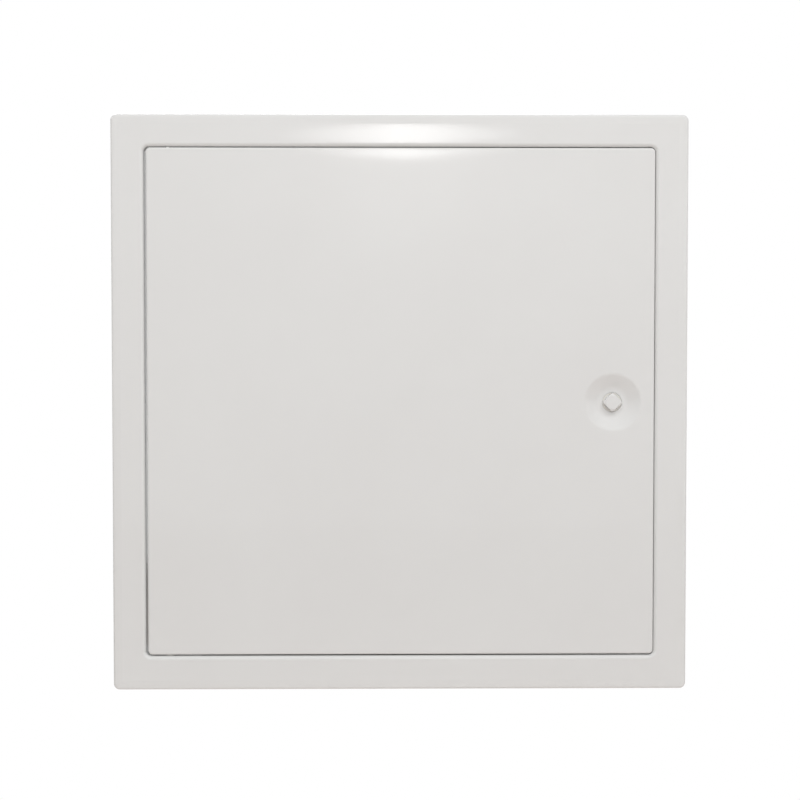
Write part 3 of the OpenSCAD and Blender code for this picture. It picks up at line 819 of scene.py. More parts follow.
@dataclass
class WallFrame(SubAssembly):
    """Pressed frame that lines the cut-out, with what is welded and riveted to it."""

    sheet: float = 1.0 * MM
    margin: float = 5.2 * MM
    margin_slope_deg: float = 4.5
    crease_r: float = 3.0 * MM
    edge_r: float = 1.5 * MM
    corner_r: float = 3.5 * MM
    mitre: float = 0.4 * MM
    bend_r: float = 2.25 * MM
    shell_edge: float = 0.12 * MM
    opening_x: float = 146.25 * MM
    opening_z: float = 146.0 * MM
    opening_corner_r: float = 3.0 * MM
    pin_hole_r: float = 2.5 * MM
    fixing_y: float = 25.0 * MM
    screw_hole_r: float = 2.5 * MM
    screw_at: float = 60.0 * MM
    stop_bend_r: float = 1.5 * MM
    stop_welds: int = 5
    stop_edge: float = 0.1 * MM
    plate_corner_r: float = 2.0 * MM
    plate_hole_r: float = 2.05 * MM
    plate_edge: float = 0.2 * MM
    anchor_at: float = 100.0 * MM
    anchor_tail: float = 12.0 * MM
    anchor_edge: float = 0.15 * MM
    rivet_half_pitch: float = 4.5 * MM
    rivet_r: float = 1.6 * MM
    rivet_play: float = 0.05 * MM
    rivet_head_r: float = 3.0 * MM
    rivet_head_h: float = 1.1 * MM
    rivet_tail_r: float = 2.3 * MM
    rivet_tail_h: float = 0.6 * MM
    rivet_soft: float = 0.25 * MM
    rivet_soft_h: float = 0.2 * MM
    rivet_dimple_r: float = 0.9 * MM
    rivet_dimple_floor_r: float = 0.6 * MM
    rivet_dimple_depth: float = 0.25 * MM
    rivet_edge: float = 0.08 * MM

    def build(self) -> None:
        """Builds the frame's shell and the pieces on it."""
        self.fit(self.build_shell(), "frame", COATED, self.shell_edge)
        self.build_stops()
        self.build_hinge_plates()
        self.build_anchors()
        self.build_rivets()

    def build_shell(self) -> Piece:
        """Folds the flange, its sloped margin and the collar from one sheet, and drills it.

        Returns:
            The frame's shell.
        """
        low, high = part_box("frame")
        rim = self.fold_rim(low, high)
        weld([rim, self.fold_collar(low.y, high.y)], "frame_shell")
        edit(rim)
        pick(rim, Element.EDGE, lambda e: e.is_boundary and lies_at(e, Axis.Y, low.y))
        bpy.ops.mesh.bridge_edge_loops()
        select_mesh()
        merge_doubles()
        thicken(rim, self.sheet)
        self.drill_shell(rim)
        return rim

    def fold_rim(self, low: Vector, high: Vector) -> Piece:
        """Folds the flange's edge: a lip on the wall, a tight fold and the sloped margin.

        The margin's corners are round outside, and run to a mitre where it meets the flat.

        Args:
            low: Frame's lowest corner.
            high: Frame's highest corner.

        Returns:
            The rim's skin, open at the wall and inside the margin.
        """
        slope = math.radians(self.margin_slope_deg)
        fold_run = self.edge_r * (1 - math.sin(slope))
        run = self.margin - fold_run - self.crease_r * math.sin(slope) / 2
        rise = run * math.tan(slope)
        drop = rise + self.edge_r * math.cos(slope) + self.crease_r * (1 - math.cos(slope))
        rim = add_slab("frame_shell", (low.x, low.y + drop, low.z), (high.x, 0.0, high.z))
        round_edges(rim, Axis.Y, self.corner_r)
        pick(rim, Element.FACE, lambda f: f.normal.y < -FACING)
        bend_face(Bend.UP, self.edge_r, start=90, end=self.margin_slope_deg, steps=6)
        # A round that is well within the merging distance is left for the mitre to close
        curved = self.corner_r - fold_run - self.mitre / 4
        for part in (curved, run - curved):
            inset(part, part * math.tan(slope))
            merge_doubles(self.mitre)
            pick(rim, Element.FACE, lambda f: f.normal.y < -SQUARE)
        bend_face(Bend.UP, self.crease_r, start=self.margin_slope_deg, end=0, steps=2)
        pick(rim, Element.FACE, lambda f: f.calc_center_median().xz.length < self.margin)
        bpy.ops.mesh.delete(type="ONLY_FACE")
        return rim

    def fold_collar(self, face_y: float, back_y: float) -> Piece:
        """Folds the collar and the bend by which it leaves the flange.

        Args:
            face_y: Level of the flange's face.
            back_y: Level of the collar's back edge.

        Returns:
            The collar's skin, open at both ends.
        """
        mouth_x, mouth_z = self.opening_x + self.bend_r, self.opening_z + self.bend_r
        collar = add_slab("collar", (-mouth_x, face_y, -mouth_z), (mouth_x, back_y, mouth_z))
        round_edges(collar, Axis.Y, self.opening_corner_r + self.bend_r)
        pick(collar, Element.FACE, lambda f: f.normal.y < -FACING)
        bend_face(Bend.DOWN, self.bend_r, start=0, end=90, steps=8)
        pull((0, back_y - face_y - self.bend_r, 0))
        pick(collar, Element.FACE, lambda f: abs(f.normal.y) > SQUARE or (
            abs(f.normal.y) < 1 - SQUARE and f.normal.xz.dot(f.calc_center_median().xz) > 0))
        bpy.ops.mesh.delete(type="FACE")
        return collar

    def drill_shell(self, shell: Piece) -> None:
        """Drills the collar's holes for the hinge pins, screws and rivets.

        Args:
            shell: The frame's shell.
        """
        across = 2 * self.opening_x + THROUGH
        rivets = [side * self.anchor_at + place * self.rivet_half_pitch
                  for side in (-1, 1) for place in (-1, 1)]
        screws = [side * self.screw_at for side in (-1, 1)]
        drill(shell, Axis.Z, self.pin_hole_r, [HINGE_AXIS], across)
        drill(shell, Axis.Z, self.screw_hole_r, [(x, self.fixing_y, 0) for x in screws], across)
        drill(shell, Axis.X, self.screw_hole_r, [(0, self.fixing_y, z) for z in screws], across)
        drill(shell, Axis.X, self.rivet_r, [(0, self.fixing_y, z) for z in rivets], across)

    def build_stops(self) -> None:
        """Folds the three stop angles and presses the marks of the spot welds into their legs."""
        low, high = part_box("top_stop")
        leg_y = (low.y + high.y) / 2 + self.sheet
        stops = {}
        for node, flat, run in (("top_stop", Axis.Z, Axis.X), ("lock_stop", Axis.X, Axis.Z)):
            low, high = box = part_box(node)
            stops[node] = fold_angle(f"{node}_angle", box, (flat, 1), (Axis.Y, -1), self.sheet,
                                     self.stop_bend_r)
            places = []
            for weld_number in range(self.stop_welds):
                share = (weld_number + 0.5) / self.stop_welds
                place = Vector((high.x - self.sheet, leg_y, high.z - self.sheet))
                place[run.number] = low[run.number] + share * (high - low)[run.number]
                places.append(place)
            WeldMarks().press(stops[node], flat, places)
        stops["bottom_stop"] = place_copy(stops["top_stop"], "bottom_stop_angle", (1, 1, -1))
        for node, piece in stops.items():
            self.fit(piece, node, COATED, self.stop_edge)

    def build_hinge_plates(self) -> None:
        """Shapes the two plates outside the collar in which the hinge pins turn."""
        low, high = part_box("upper_hinge_plate")
        upper = add_slab("upper_hinge_doubler", low, high)
        round_edges(upper, Axis.Z, self.plate_corner_r, steps=6)
        drill(upper, Axis.Z, self.plate_hole_r, [(HINGE.x, HINGE.y, high.z)], THROUGH)
        lower = place_copy(upper, "lower_hinge_doubler", (1, 1, -1))
        for piece, node in ((upper, "upper_hinge_plate"), (lower, "lower_hinge_plate")):
            self.fit(piece, node, PLATED, self.plate_edge)

    def build_anchors(self) -> None:
        """Cuts the four wall anchors from strip, each with a fishtail."""
        low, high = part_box("upper_right_anchor")
        middle, quarter = (low.z + high.z) / 2, (high.z - low.z) / 4
        strip = add_slab("upper_right_strip", low, high)
        edit(strip)
        for place in (-quarter, 0, quarter):
            select_mesh()
            bpy.ops.mesh.bisect(plane_co=(0, 0, middle + place), plane_no=(0, 0, 1))
        pick(strip, Element.EDGE, lambda e: lies_at(e, Axis.Y, high.y) and lies_at(e, Axis.Z, middle))
        bpy.ops.transform.translate(value=(0, -self.anchor_tail, 0))
        rivets = [(high.x, self.fixing_y, middle + side * self.rivet_half_pitch) for side in (-1, 1)]
        drill(strip, Axis.X, self.rivet_r, rivets, THROUGH)
        strips = {"upper_right": strip}
        for corner, flips in (("lower_right", (1, 1, -1)), ("upper_left", (-1, 1, 1)),
                              ("lower_left", (-1, 1, -1))):
            strips[corner] = place_copy(strip, f"{corner}_strip", flips)
        for corner, piece in strips.items():
            self.fit(piece, f"{corner}_anchor", GALVANISED, self.anchor_edge)

    def build_rivets(self) -> None:
        """Turns one rivet with a domed head and an upset tail, and copies it to all eight places."""
        _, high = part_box("anchor_rivets")
        tail = high.x - self.opening_x
        grip = tail - self.rivet_tail_h
        dome_r = (self.rivet_head_r ** 2 + self.rivet_head_h ** 2) / (2 * self.rivet_head_h)
        dome = [(dome_r * math.sin(a), dome_r - self.rivet_head_h - dome_r * math.cos(a))
                for a in even_steps(math.asin(self.rivet_head_r / dome_r), steps=8)]
        shank_r = self.rivet_r - self.rivet_play
        sunk = tail - self.rivet_dimple_depth
        profile = [*dome, (shank_r, 0), (shank_r, grip), (self.rivet_tail_r, grip),
                   (self.rivet_tail_r, tail - self.rivet_soft_h),
                   (self.rivet_tail_r - self.rivet_soft, tail), (self.rivet_dimple_r, tail),
                   (self.rivet_dimple_floor_r, sunk), (0, sunk)]
        place = (self.opening_x, self.fixing_y, self.anchor_at + self.rivet_half_pitch)
        first = turn("rivet", profile, Axis.X, place, steps=32)
        second = place_copy(first, "rivet_copy", shift=(0, 0, -2 * self.rivet_half_pitch))
        pair = weld([first, second], "rivet_pair")
        others = [place_copy(pair, "rivet_pair_copy", flips)
                  for flips in ((1, 1, -1), (-1, 1, 1), (-1, 1, -1))]
        rivets = weld([pair, *others], "set_rivets")
        self.fit(rivets, "anchor_rivets", RIVET, self.rivet_edge)


@dataclass
class PinHolder(SubAssembly):
    """Sub-assembly with a hinge pin, which an open ring in its groove holds."""

    pin_r: float = 2.0 * MM
    pin_soft: float = 0.25 * MM
    pin_chamfer: float = 0.6 * MM
    pin_edge: float = 0.06 * MM
    groove_r: float = 1.6 * MM
    ring_r: float = 3.6 * MM
    ring_chamfer: float = 0.1 * MM
    ring_edge: float = 0.05 * MM
    relief_r: float = 0.65 * MM
    relief_back: float = 0.9 * MM

    def pin_profile(self, start: float, tip: float, groove: Pair) -> Profile:
        """Profile of a hinge pin from its blunt end to its chamfered tip, with a ring's groove.

        Args:
            start: Height of the blunt end.
            tip: Height of the tip.
            groove: Heights of the groove's two sides.

        Returns:
            Radius and height of each point.
        """
        down = 1 if tip < start else -1
        near, far = sorted(groove, key=lambda z: -down * z)
        return [(0, start), (self.pin_r - self.pin_soft, start),
                (self.pin_r, start - down * self.pin_soft), (self.pin_r, near), (self.groove_r, near),
                (self.groove_r, far), (self.pin_r, far), (self.pin_r, tip + down * self.pin_chamfer),
                (self.pin_r - self.pin_chamfer, tip), (0, tip)]

    def fit_ring(self, name: str, node: str) -> None:
        """Stamps an open retaining ring, with a mouth and two relief pockets, round the pin.

        Args:
            name: Name of the ring.
            node: CAD node that it stands for.
        """
        low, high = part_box(node)
        ring = turn_ring(name, (self.groove_r, self.ring_r), (low.z, high.z), self.ring_chamfer,
                         Axis.Z, HINGE_AXIS)
        mouth = add_slab("mouth_cutter", (HINGE.x, HINGE.y - self.groove_r, low.z - SPARE),
                         (HINGE.x + 2 * self.ring_r, HINGE.y + self.groove_r, high.z + SPARE))
        combine(ring, mouth, Shared.CUT)
        places = [(HINGE.x - self.relief_back, HINGE.y + side * self.groove_r, low.z)
                  for side in (-1, 1)]
        drill(ring, Axis.Z, self.relief_r, places, THROUGH)
        self.fit(ring, node, SPRING, self.ring_edge)


@dataclass
class DoorLeaf(PinHolder):
    """Folded door with its pressed lock dish, and the fittings on its back."""

    sheet: float = 1.0 * MM
    edge_r: float = 1.25 * MM
    edge_film: float = 0.18 * MM
    skin_edge: float = 0.12 * MM
    corner_r: float = 2.5 * MM
    pip_r: float = 0.9 * MM
    pip_h: float = 0.36 * MM
    pip_edge: float = 0.05 * MM
    hem: float = 8.0 * MM
    slit: float = 0.6 * MM
    dish_r: float = 17.25 * MM
    dish_depth: float = 3.25 * MM
    dish_floor_r: float = 6.6 * MM
    dish_rim_r: float = 5.0 * MM
    dish_slope_deg: float = 22.0
    dish_hole_r: float = 5.55 * MM
    pin_hole_r: float = 2.05 * MM
    bracket_sheet: float = 1.2 * MM
    bracket_bend_r: float = 1.8 * MM
    bracket_corner_r: float = 2.5 * MM
    bracket_welds_mm: tuple[Pair, ...] = ((-4.0, 5.0), (4.0, 5.0), (0.0, 12.0))
    bracket_edge: float = 0.12 * MM
    washer_chamfer: float = 0.1 * MM
    washer_edge: float = 0.04 * MM
    spring_r: float = 2.7 * MM
    wire_r: float = 0.35 * MM
    wire_edge: float = 0.05 * MM
    spring_turns: int = 9
    closed_pitch: float = 0.728 * MM
    pin_travel: float = 5.0 * MM
    bush_r: float = 5.5 * MM
    bush_bore_r: float = 4.55 * MM
    bush_recess: float = 0.2 * MM
    bush_flange: float = 1.5 * MM
    bush_soft: float = 0.2 * MM
    bush_edge: float = 0.08 * MM

    def build(self) -> None:
        """Builds the door's skin and the pieces on it."""
        self.fit(self.build_skin(), "door_panel", COATED, edge=0)
        self.build_brackets()
        self.build_lower_pin()
        self.build_spring()
        self.build_bush()

    def build_skin(self) -> Piece:
        """Folds the door's face, edges and hems from one sheet and presses the dish into it.

        The coat builds up on the free edges, at the lock and at the top, and narrows the gap there.

        Returns:
            The door's skin, with its surface done.
        """
        low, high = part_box("door_panel")
        high = high + Vector((self.edge_film, 0, self.edge_film))
        skin = add_slab("door_skin", (low.x, low.y + self.edge_r, low.z),
                        (high.x, high.y - self.edge_r, high.z))
        round_edges(skin, Axis.Y, self.corner_r)
        for side in (-1, 1):
            pick(skin, Element.FACE, lambda f: f.normal.y * side > FACING)
            bend_face(Bend.UP, self.edge_r, start=90, end=0, steps=8)
        pick(skin, Element.FACE, lambda f: abs(f.normal.y) > SQUARE)
        bpy.ops.mesh.delete(type="ONLY_FACE")
        self.fill_back(skin, low, high)
        self.press_dish(skin, low.y)
        close_seams()
        thicken(skin, self.sheet)
        drill(skin, Axis.Z, self.pin_hole_r, [HINGE_AXIS], high.z - low.z + THROUGH)
        self.slit_hems(skin, low, high)
        finish_surface(skin, self.skin_edge)
        return weld([skin, self.raise_pip(low.y, high.z)], "door_skin")

    def raise_pip(self, face_y: float, top: float) -> Piece:
        """Raises the small coated pip on the door's top edge, over the hinge, that keeps the gap.

        Args:
            face_y: Level of the door's face.
            top: Height of the door's top edge.

        Returns:
            The pip, whose root is sunk in the edge.
        """
        crown = [(self.pip_r * math.cos(a), self.pip_h * math.sin(a))
                 for a in even_steps(math.pi / 2, steps=6)]
        root = [(0, -self.edge_r / 2), (self.pip_r, -self.edge_r / 2)]
        pip = turn("edge_pip", [*root, *crown], Axis.Z, (HINGE.x, face_y + self.edge_r, top), steps=32)
        finish_surface(pip, self.pip_edge)
        return pip

    def fill_back(self, skin: Piece, low: Vector, high: Vector) -> None:
        """Fills the hems between the back folds and the door's open back.

        Args:
            skin: Door's skin in edit mode.
            low: Door's lowest corner.
            high: Door's highest corner.
        """
        middle = (low + high) / 2
        place = (middle.x, high.y, middle.z)
        bpy.ops.mesh.select_all(action="DESELECT")
        bpy.ops.mesh.primitive_plane_add(size=1, location=place, rotation=Axis.Y.value)
        bpy.ops.transform.resize(
            value=(high.x - low.x - 2 * self.hem, 1, high.z - low.z - 2 * self.hem),
            center_override=place)
        bpy.ops.mesh.delete(type="ONLY_FACE")
        pick(skin, Element.EDGE, lambda e: e.is_wire or (
            e.is_boundary and lies_at(e, Axis.Y, high.y)))
        bpy.ops.mesh.fill()

    def press_dish(self, skin: Piece, face_y: float) -> None:
        """Presses the lock's dish: a round rim, a straight flank, a bowl and a flat floor.

        The door's face is filled round it.

        Args:
            skin: Door's skin in edit mode.
            face_y: Level of the door's face.
        """
        slope = math.radians(self.dish_slope_deg)
        run = self.dish_r - self.dish_floor_r
        bends_drop = run * math.sin(slope) - self.dish_depth * math.cos(slope)
        bowl_r = bends_drop / (1 - math.cos(slope)) - self.dish_rim_r
        flank_drop = self.dish_depth - bends_drop
        bpy.ops.mesh.select_all(action="DESELECT")
        bpy.ops.mesh.primitive_circle_add(vertices=96, radius=self.dish_r, fill_type="NGON",
                                          location=(LOCK.x, face_y, LOCK.z), rotation=Axis.Y.value)
        bpy.ops.mesh.select_mode(type="FACE")
        bend_face(Bend.DOWN, self.dish_rim_r, start=0, end=self.dish_slope_deg, steps=10)
        inset(flank_drop / math.tan(slope), -flank_drop)
        bend_face(Bend.DOWN, bowl_r, start=self.dish_slope_deg, end=0, steps=10)
        inset(self.dish_floor_r - self.dish_hole_r, 0)
        bpy.ops.mesh.delete(type="FACE")
        pick(skin, Element.EDGE, lambda e: e.is_boundary and lies_at(e, Axis.Y, face_y))
        bpy.ops.mesh.fill()

    def slit_hems(self, skin: Piece, low: Vector, high: Vector) -> None:
        """Cuts the slits that part the hems at the door's corners.

        Args:
            skin: Door's skin.
            low: Door's lowest corner.
            high: Door's highest corner.
        """
        near, far = self.corner_r / 2, self.hem * math.sqrt(2) + self.corner_r
        reach = (near + far) / 2 / math.sqrt(2)
        cutters = []
        for x, side_x in ((low.x, 1), (high.x, -1)):
            for z, side_z in ((low.z, 1), (high.z, -1)):
                clear_selection()
                bpy.ops.mesh.primitive_cube_add(
                    size=1, location=(x + side_x * reach, high.y, z + side_z * reach),
                    rotation=(0, -side_x * side_z * math.pi / 4, 0),
                    scale=(far - near, 2 * self.sheet, self.slit))
                cutters.append(take("slit_cutter"))
        combine(skin, weld(cutters, "slit_cutters"), Shared.CUT)

    def build_brackets(self) -> None:
        """Folds the two brackets that guide the hinge pins, with the marks of their spot welds."""
        low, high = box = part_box("upper_pin_bracket")
        upper = fold_angle("upper_bracket", box, (Axis.Z, 1), (Axis.Y, -1), self.bracket_sheet,
                           self.bracket_bend_r)
        pick(upper, Element.EDGE, lambda e: (
            runs_along(e, Axis.Y) and lies_at(e, Axis.Z, low.z))
            or (runs_along(e, Axis.Z) and lies_at(e, Axis.Y, high.y)))
        bevel(self.bracket_corner_r, steps=8)
        drill(upper, Axis.Z, self.pin_hole_r, [(HINGE.x, HINGE.y, high.z)], THROUGH)
        foot_y = low.y + self.bracket_sheet
        WeldMarks().press(upper, Axis.Y, [(HINGE.x + x * MM, foot_y, low.z + z * MM)
                                          for x, z in self.bracket_welds_mm])
        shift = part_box("lower_pin_bracket")[0].z + high.z
        lower = place_copy(upper, "lower_bracket", (1, 1, -1), (0, 0, shift))
        for piece, node in ((upper, "upper_pin_bracket"), (lower, "lower_pin_bracket")):
            self.fit(piece, node, PLATED, self.bracket_edge)

    def build_lower_pin(self) -> None:
        """Turns the fixed lower pin, its retaining ring and the nylon washer that carries the door."""
        low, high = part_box("lower_hinge_pin")
        ring_low, ring_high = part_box("lower_pin_ring")
        profile = self.pin_profile(high.z, low.z, (ring_low.z, ring_high.z))
        self.fit(turn("lower_pin", profile, Axis.Z, HINGE_AXIS), "lower_hinge_pin", BRIGHT,
                 self.pin_edge)
        self.fit_ring("lower_clip", "lower_pin_ring")
        low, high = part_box("thrust_washer")
        washer = turn_ring("nylon_thrust_washer", (self.pin_hole_r, high.x - HINGE.x), (low.z, high.z),
                           self.washer_chamfer, Axis.Z, HINGE_AXIS)
        self.fit(washer, "thrust_washer", NYLON, self.washer_edge)

    def build_spring(self) -> None:
        """Winds the pin's spring, with closed end turns, and gives it a mesh of its own."""
        low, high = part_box("pin_spring")
        start, end = low.z + self.wire_r, high.z - self.wire_r
        open_turns = self.spring_turns - 2
        open_pitch = (end - start - 2 * self.closed_pitch) / open_turns
        runs = [(start, self.closed_pitch, 1), (start + self.closed_pitch, open_pitch, open_turns),
                (end - self.closed_pitch, self.closed_pitch, 1)]
        spring = weld([self.wind(*run) for run in runs], "wound_spring")
        edit(spring)
        select_mesh()
        merge_doubles()
        bpy.ops.mesh.fill_holes(sides=0)
        close_seams()
        clear_selection()
        self.fit(spring, "pin_spring", SPRING, self.wire_edge)
        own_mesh(spring)

    def wind(self, start: float, pitch: float, turns: int) -> Piece:
        """Winds wire round the hinge's axis at one pitch.

        Args:
            start: Height of the wire's middle where it starts.
            pitch: Rise of one turn.
            turns: Whole turns.

        Returns:
            The wound wire, open at both ends.
        """
        clear_selection()
        bpy.ops.mesh.primitive_circle_add(vertices=12, radius=self.wire_r, rotation=Axis.Y.value,
                                          location=(self.spring_r, 0, 0))
        wire = take("wire")
        wire.location = (HINGE.x, HINGE.y, start)
        apply_modifier(wire, "SCREW", axis="Z", angle=2 * math.pi, screw_offset=pitch,
                       iterations=turns, steps=32, render_steps=32)
        choose(wire)
        return take("wire")

    def build_bush(self) -> None:
        """Turns the flanged nylon bush in the dish's hole."""
        low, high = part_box("lock_bush")
        bore, body, rim, soft = self.bush_bore_r, self.bush_r, high.x - LOCK.x, self.bush_soft
        flange = low.y + self.sheet - self.bush_recess
        back = flange + self.bush_flange
        profile = [(bore, low.y), (body - soft, low.y), (body, low.y + soft), (body, flange),
                   (rim - soft, flange), (rim, flange + soft), (rim, back - soft), (rim - soft, back),
                   (body, back), (body, high.y), (bore, high.y), (bore, low.y)]
        bush = turn("flanged_bush", profile, Axis.Y, LOCK_AXIS)
        self.fit(bush, "lock_bush", NYLON, self.bush_edge)


@dataclass
class SprungPin(PinHolder):
    """Sprung upper hinge pin, which is pulled down by its grip to lift the door out."""

    grip_bend_r: float = 5.0 * MM
    grip_soft: float = 0.7 * MM

    def build(self) -> None:
        """Builds the pin and its ring."""
        self.fit(self.build_pin(), "upper_hinge_pin", BRIGHT, self.pin_edge)
        self.fit_ring("upper_clip", "upper_pin_ring")

    def build_pin(self) -> Piece:
        """Turns the pin's straight end and bends its other end into a finger grip.

        Returns:
            The pin.
        """
        low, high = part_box("upper_hinge_pin")
        ring_low, ring_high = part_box("upper_pin_ring")
        bend_z = low.z + self.pin_r + self.grip_bend_r
        # The bend takes the place of the blunt end's three points
        _, _, _, *straight = self.pin_profile(bend_z, high.z, (ring_low.z, ring_high.z))
        pin = turn("sprung_pin_rod", [(self.pin_r, bend_z), *straight], Axis.Z, HINGE_AXIS)
        edit(pin)
        pick(pin, Element.EDGE, lambda e: e.is_boundary)
        bpy.ops.mesh.spin(steps=16, angle=math.pi / 2, axis=(0, 1, 0),
                          center=(HINGE.x + self.grip_bend_r, HINGE.y, bend_z))
        pull((high.x - HINGE.x - self.grip_bend_r, 0, 0))
        bpy.ops.mesh.edge_face_add()
        close_seams()
        pick(pin, Element.EDGE, lambda e: lies_at(e, Axis.X, high.x))
        bevel(self.grip_soft, steps=4)
        return pin


@dataclass
class KeyLock(SubAssembly):
    """Square-key lock: spindle, wave washer, cam, washer and nut."""

    stud_af: float = 8.0 * MM
    stud_bar_r: float = 5.2 * MM
    stud_chamfer: float = 0.7 * MM
    stud_soft: float = 0.45 * MM
    stud_soft_from: float = math.radians(20)
    floor_y: float = -2.45 * MM
    shank_r: float = 4.5 * MM
    shank_soft: float = 0.3 * MM
    tang_af: float = 7.0 * MM
    tang_corner_r: float = 0.7 * MM
    tang_recess: float = 0.2 * MM
    thread_r: float = 2.98 * MM
    thread_depth: float = 0.5 * MM
    thread_root: float = 0.1
    thread_crest: Pair = (0.55, 0.65)
    pitch: float = 1.0 * MM
    spindle_edge: float = 0.05 * MM
    cam_half_w: float = 7.0 * MM
    cam_hub_r: float = 8.5 * MM
    cam_play: float = 0.05 * MM
    cam_fillet: float = 0.25 * MM
    cam_fillet_from: float = math.radians(30)
    cam_lead: float = 1.5 * MM
    cam_lead_slope: float = math.radians(25)
    cam_edge: float = 0.1 * MM
    bore_r: float = 3.05 * MM
    washer_chamfer: float = 0.2 * MM
    washer_edge: float = 0.06 * MM
    nut_turned: float = 0.1 * MM
    nut_sink: float = 0.4 * MM
    nut_edge: float = 0.1 * MM

    def build(self) -> None:
        """Builds the lock's pieces."""
        self.bare_thread(self.fit(self.build_spindle(), "lock_spindle", COATED, self.spindle_edge))
        self.keep("wave_washer", SPRING)
        self.fit(self.build_cam(), "lock_cam", PLATED, self.cam_edge)
        self.fit(self.build_washer(), "cam_washer", PLATED, self.washer_edge)
        self.fit(self.build_nut(), "cam_nut", PLATED, self.nut_edge)

    def build_spindle(self) -> Piece:
        """Turns the spindle and its thread, and mills the square stud and tang on it.

        Returns:
            The spindle.
        """
        low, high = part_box("lock_spindle")
        cam_low, cam_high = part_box("lock_cam")
        root, soft = self.thread_r - self.thread_depth, self.shank_soft
        turns = int((high.y - cam_high.y) / self.pitch)
        form = [(root, self.thread_root), *((self.thread_r, share) for share in self.thread_crest)]
        thread = [(radius, cam_high.y + self.pitch * (number + share))
                  for number in range(turns) for radius, share in form]
        neck_r, shoulder = self.stud_af / 2 - soft, self.floor_y + soft
        profile = [(0, self.floor_y - soft), (neck_r, self.floor_y - soft), (neck_r, shoulder),
                   (self.shank_r, shoulder), (self.shank_r, cam_low.y - soft),
                   (self.shank_r - soft, cam_low.y), (root, cam_low.y), *thread,
                   (root, high.y), (0, high.y)]
        spindle = turn("turned_spindle", profile, Axis.Y, LOCK_AXIS)
        tang = self.add_square("tang", self.tang_af / 2, cam_low.y - SPARE,
                               cam_high.y - self.tang_recess)
        combine(spindle, tang, Shared.JOINED)
        combine(spindle, self.mill_stud(low.y), Shared.JOINED)
        return spindle

    def add_square(self, name: str, half: float, start: float, end: float) -> Piece:
        """Adds a square bar with round corners along the lock's axis.

        Args:
            name: Name of the bar.
            half: Half its width.
            start: Level of its front.
            end: Level of its back.

        Returns:
            The bar.
        """
        bar = add_slab(name, (LOCK.x - half, start, LOCK.z - half), (LOCK.x + half, end, LOCK.z + half))
        round_edges(bar, Axis.Y, self.tang_corner_r, steps=4)
        return bar

    def bare_thread(self, spindle: Piece) -> None:
        """Leaves the spindle's tang and thread, which are masked from the powder, plated.

        Args:
            spindle: The coated spindle.
        """
        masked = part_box("lock_cam")[0].y - CLOSE
        spindle.data.materials.append(PLATED.make())
        edit(spindle)
        pick(spindle, Element.FACE, lambda f: all(v.co.y > masked for v in f.verts))
        spindle.active_material_index = 1
        bpy.ops.object.material_slot_assign()
        clear_selection()

    def mill_stud(self, tip: float) -> Piece:
        """Mills the square stud from the bar's turned end, with edges that the coat has softened.

        Args:
            tip: Level of the stud's tip.

        Returns:
            The stud, which sits over the shank's neck.
        """
        root = self.floor_y
        clear_selection()
        bpy.ops.mesh.primitive_cube_add(
            size=1, location=(LOCK.x, (tip + root) / 2, LOCK.z), rotation=(0, math.pi / 4, 0),
            scale=(self.stud_af, root - tip, self.stud_af))
        stud = take("stud")
        bar = [(0, root), (self.stud_bar_r, root), (self.stud_bar_r, tip + self.stud_chamfer),
               (self.stud_bar_r - 2 * self.stud_chamfer, tip), (0, tip)]
        combine(stud, turn("bar", bar, Axis.Y, LOCK_AXIS, steps=96), Shared.COMMON)
        apply_modifier(stud, "BEVEL", width=self.stud_soft, segments=4, limit_method="ANGLE",
                       angle_limit=self.stud_soft_from, use_clamp_overlap=True)
        return stud

    def build_cam(self) -> Piece:
        """Stamps the cam: a hub, a tongue with a round end and a lead-in, and a square hole.

        Returns:
            The cam.
        """
        low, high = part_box("lock_cam")
        reach = LOCK.z - low.z
        centre = (LOCK.x, (low.y + high.y) / 2, LOCK.z)
        cam = add_slab("stamped_cam", (LOCK.x - self.cam_half_w, low.y, low.z - SPARE),
                       (LOCK.x + self.cam_half_w, high.y, LOCK.z))
        for radius, kept in ((reach, Shared.COMMON), (self.cam_hub_r, Shared.JOINED)):
            combine(cam, add_bar("round_tool", Axis.Y, radius, high.y - low.y, centre, sides=88), kept)
        hole = self.add_square("square_tool", self.tang_af / 2 + self.cam_play, low.y - SPARE,
                               high.y + SPARE)
        combine(cam, hole, Shared.CUT)
        edit(cam)
        select_mesh()
        bpy.ops.mesh.bisect(plane_co=(LOCK.x, low.y + self.cam_lead, low.z),
                            plane_no=(0, -math.cos(self.cam_lead_slope), -math.sin(self.cam_lead_slope)),
                            use_fill=True, clear_outer=True)
        close_seams()
        clear_flats()
        pick(cam, Element.EDGE, lambda e: runs_along(e, Axis.Y)
             and e.calc_face_angle_signed(0.0) < -self.cam_fillet_from)
        bevel(self.cam_fillet, steps=4)
        return cam

    def build_washer(self) -> Piece:
        """Turns the washer under the nut and returns it."""
        low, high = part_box("cam_washer")
        return turn_ring("plain_washer", (self.bore_r, high.x - LOCK.x), (low.y, high.y),
                         self.washer_chamfer, Axis.Y, LOCK_AXIS)

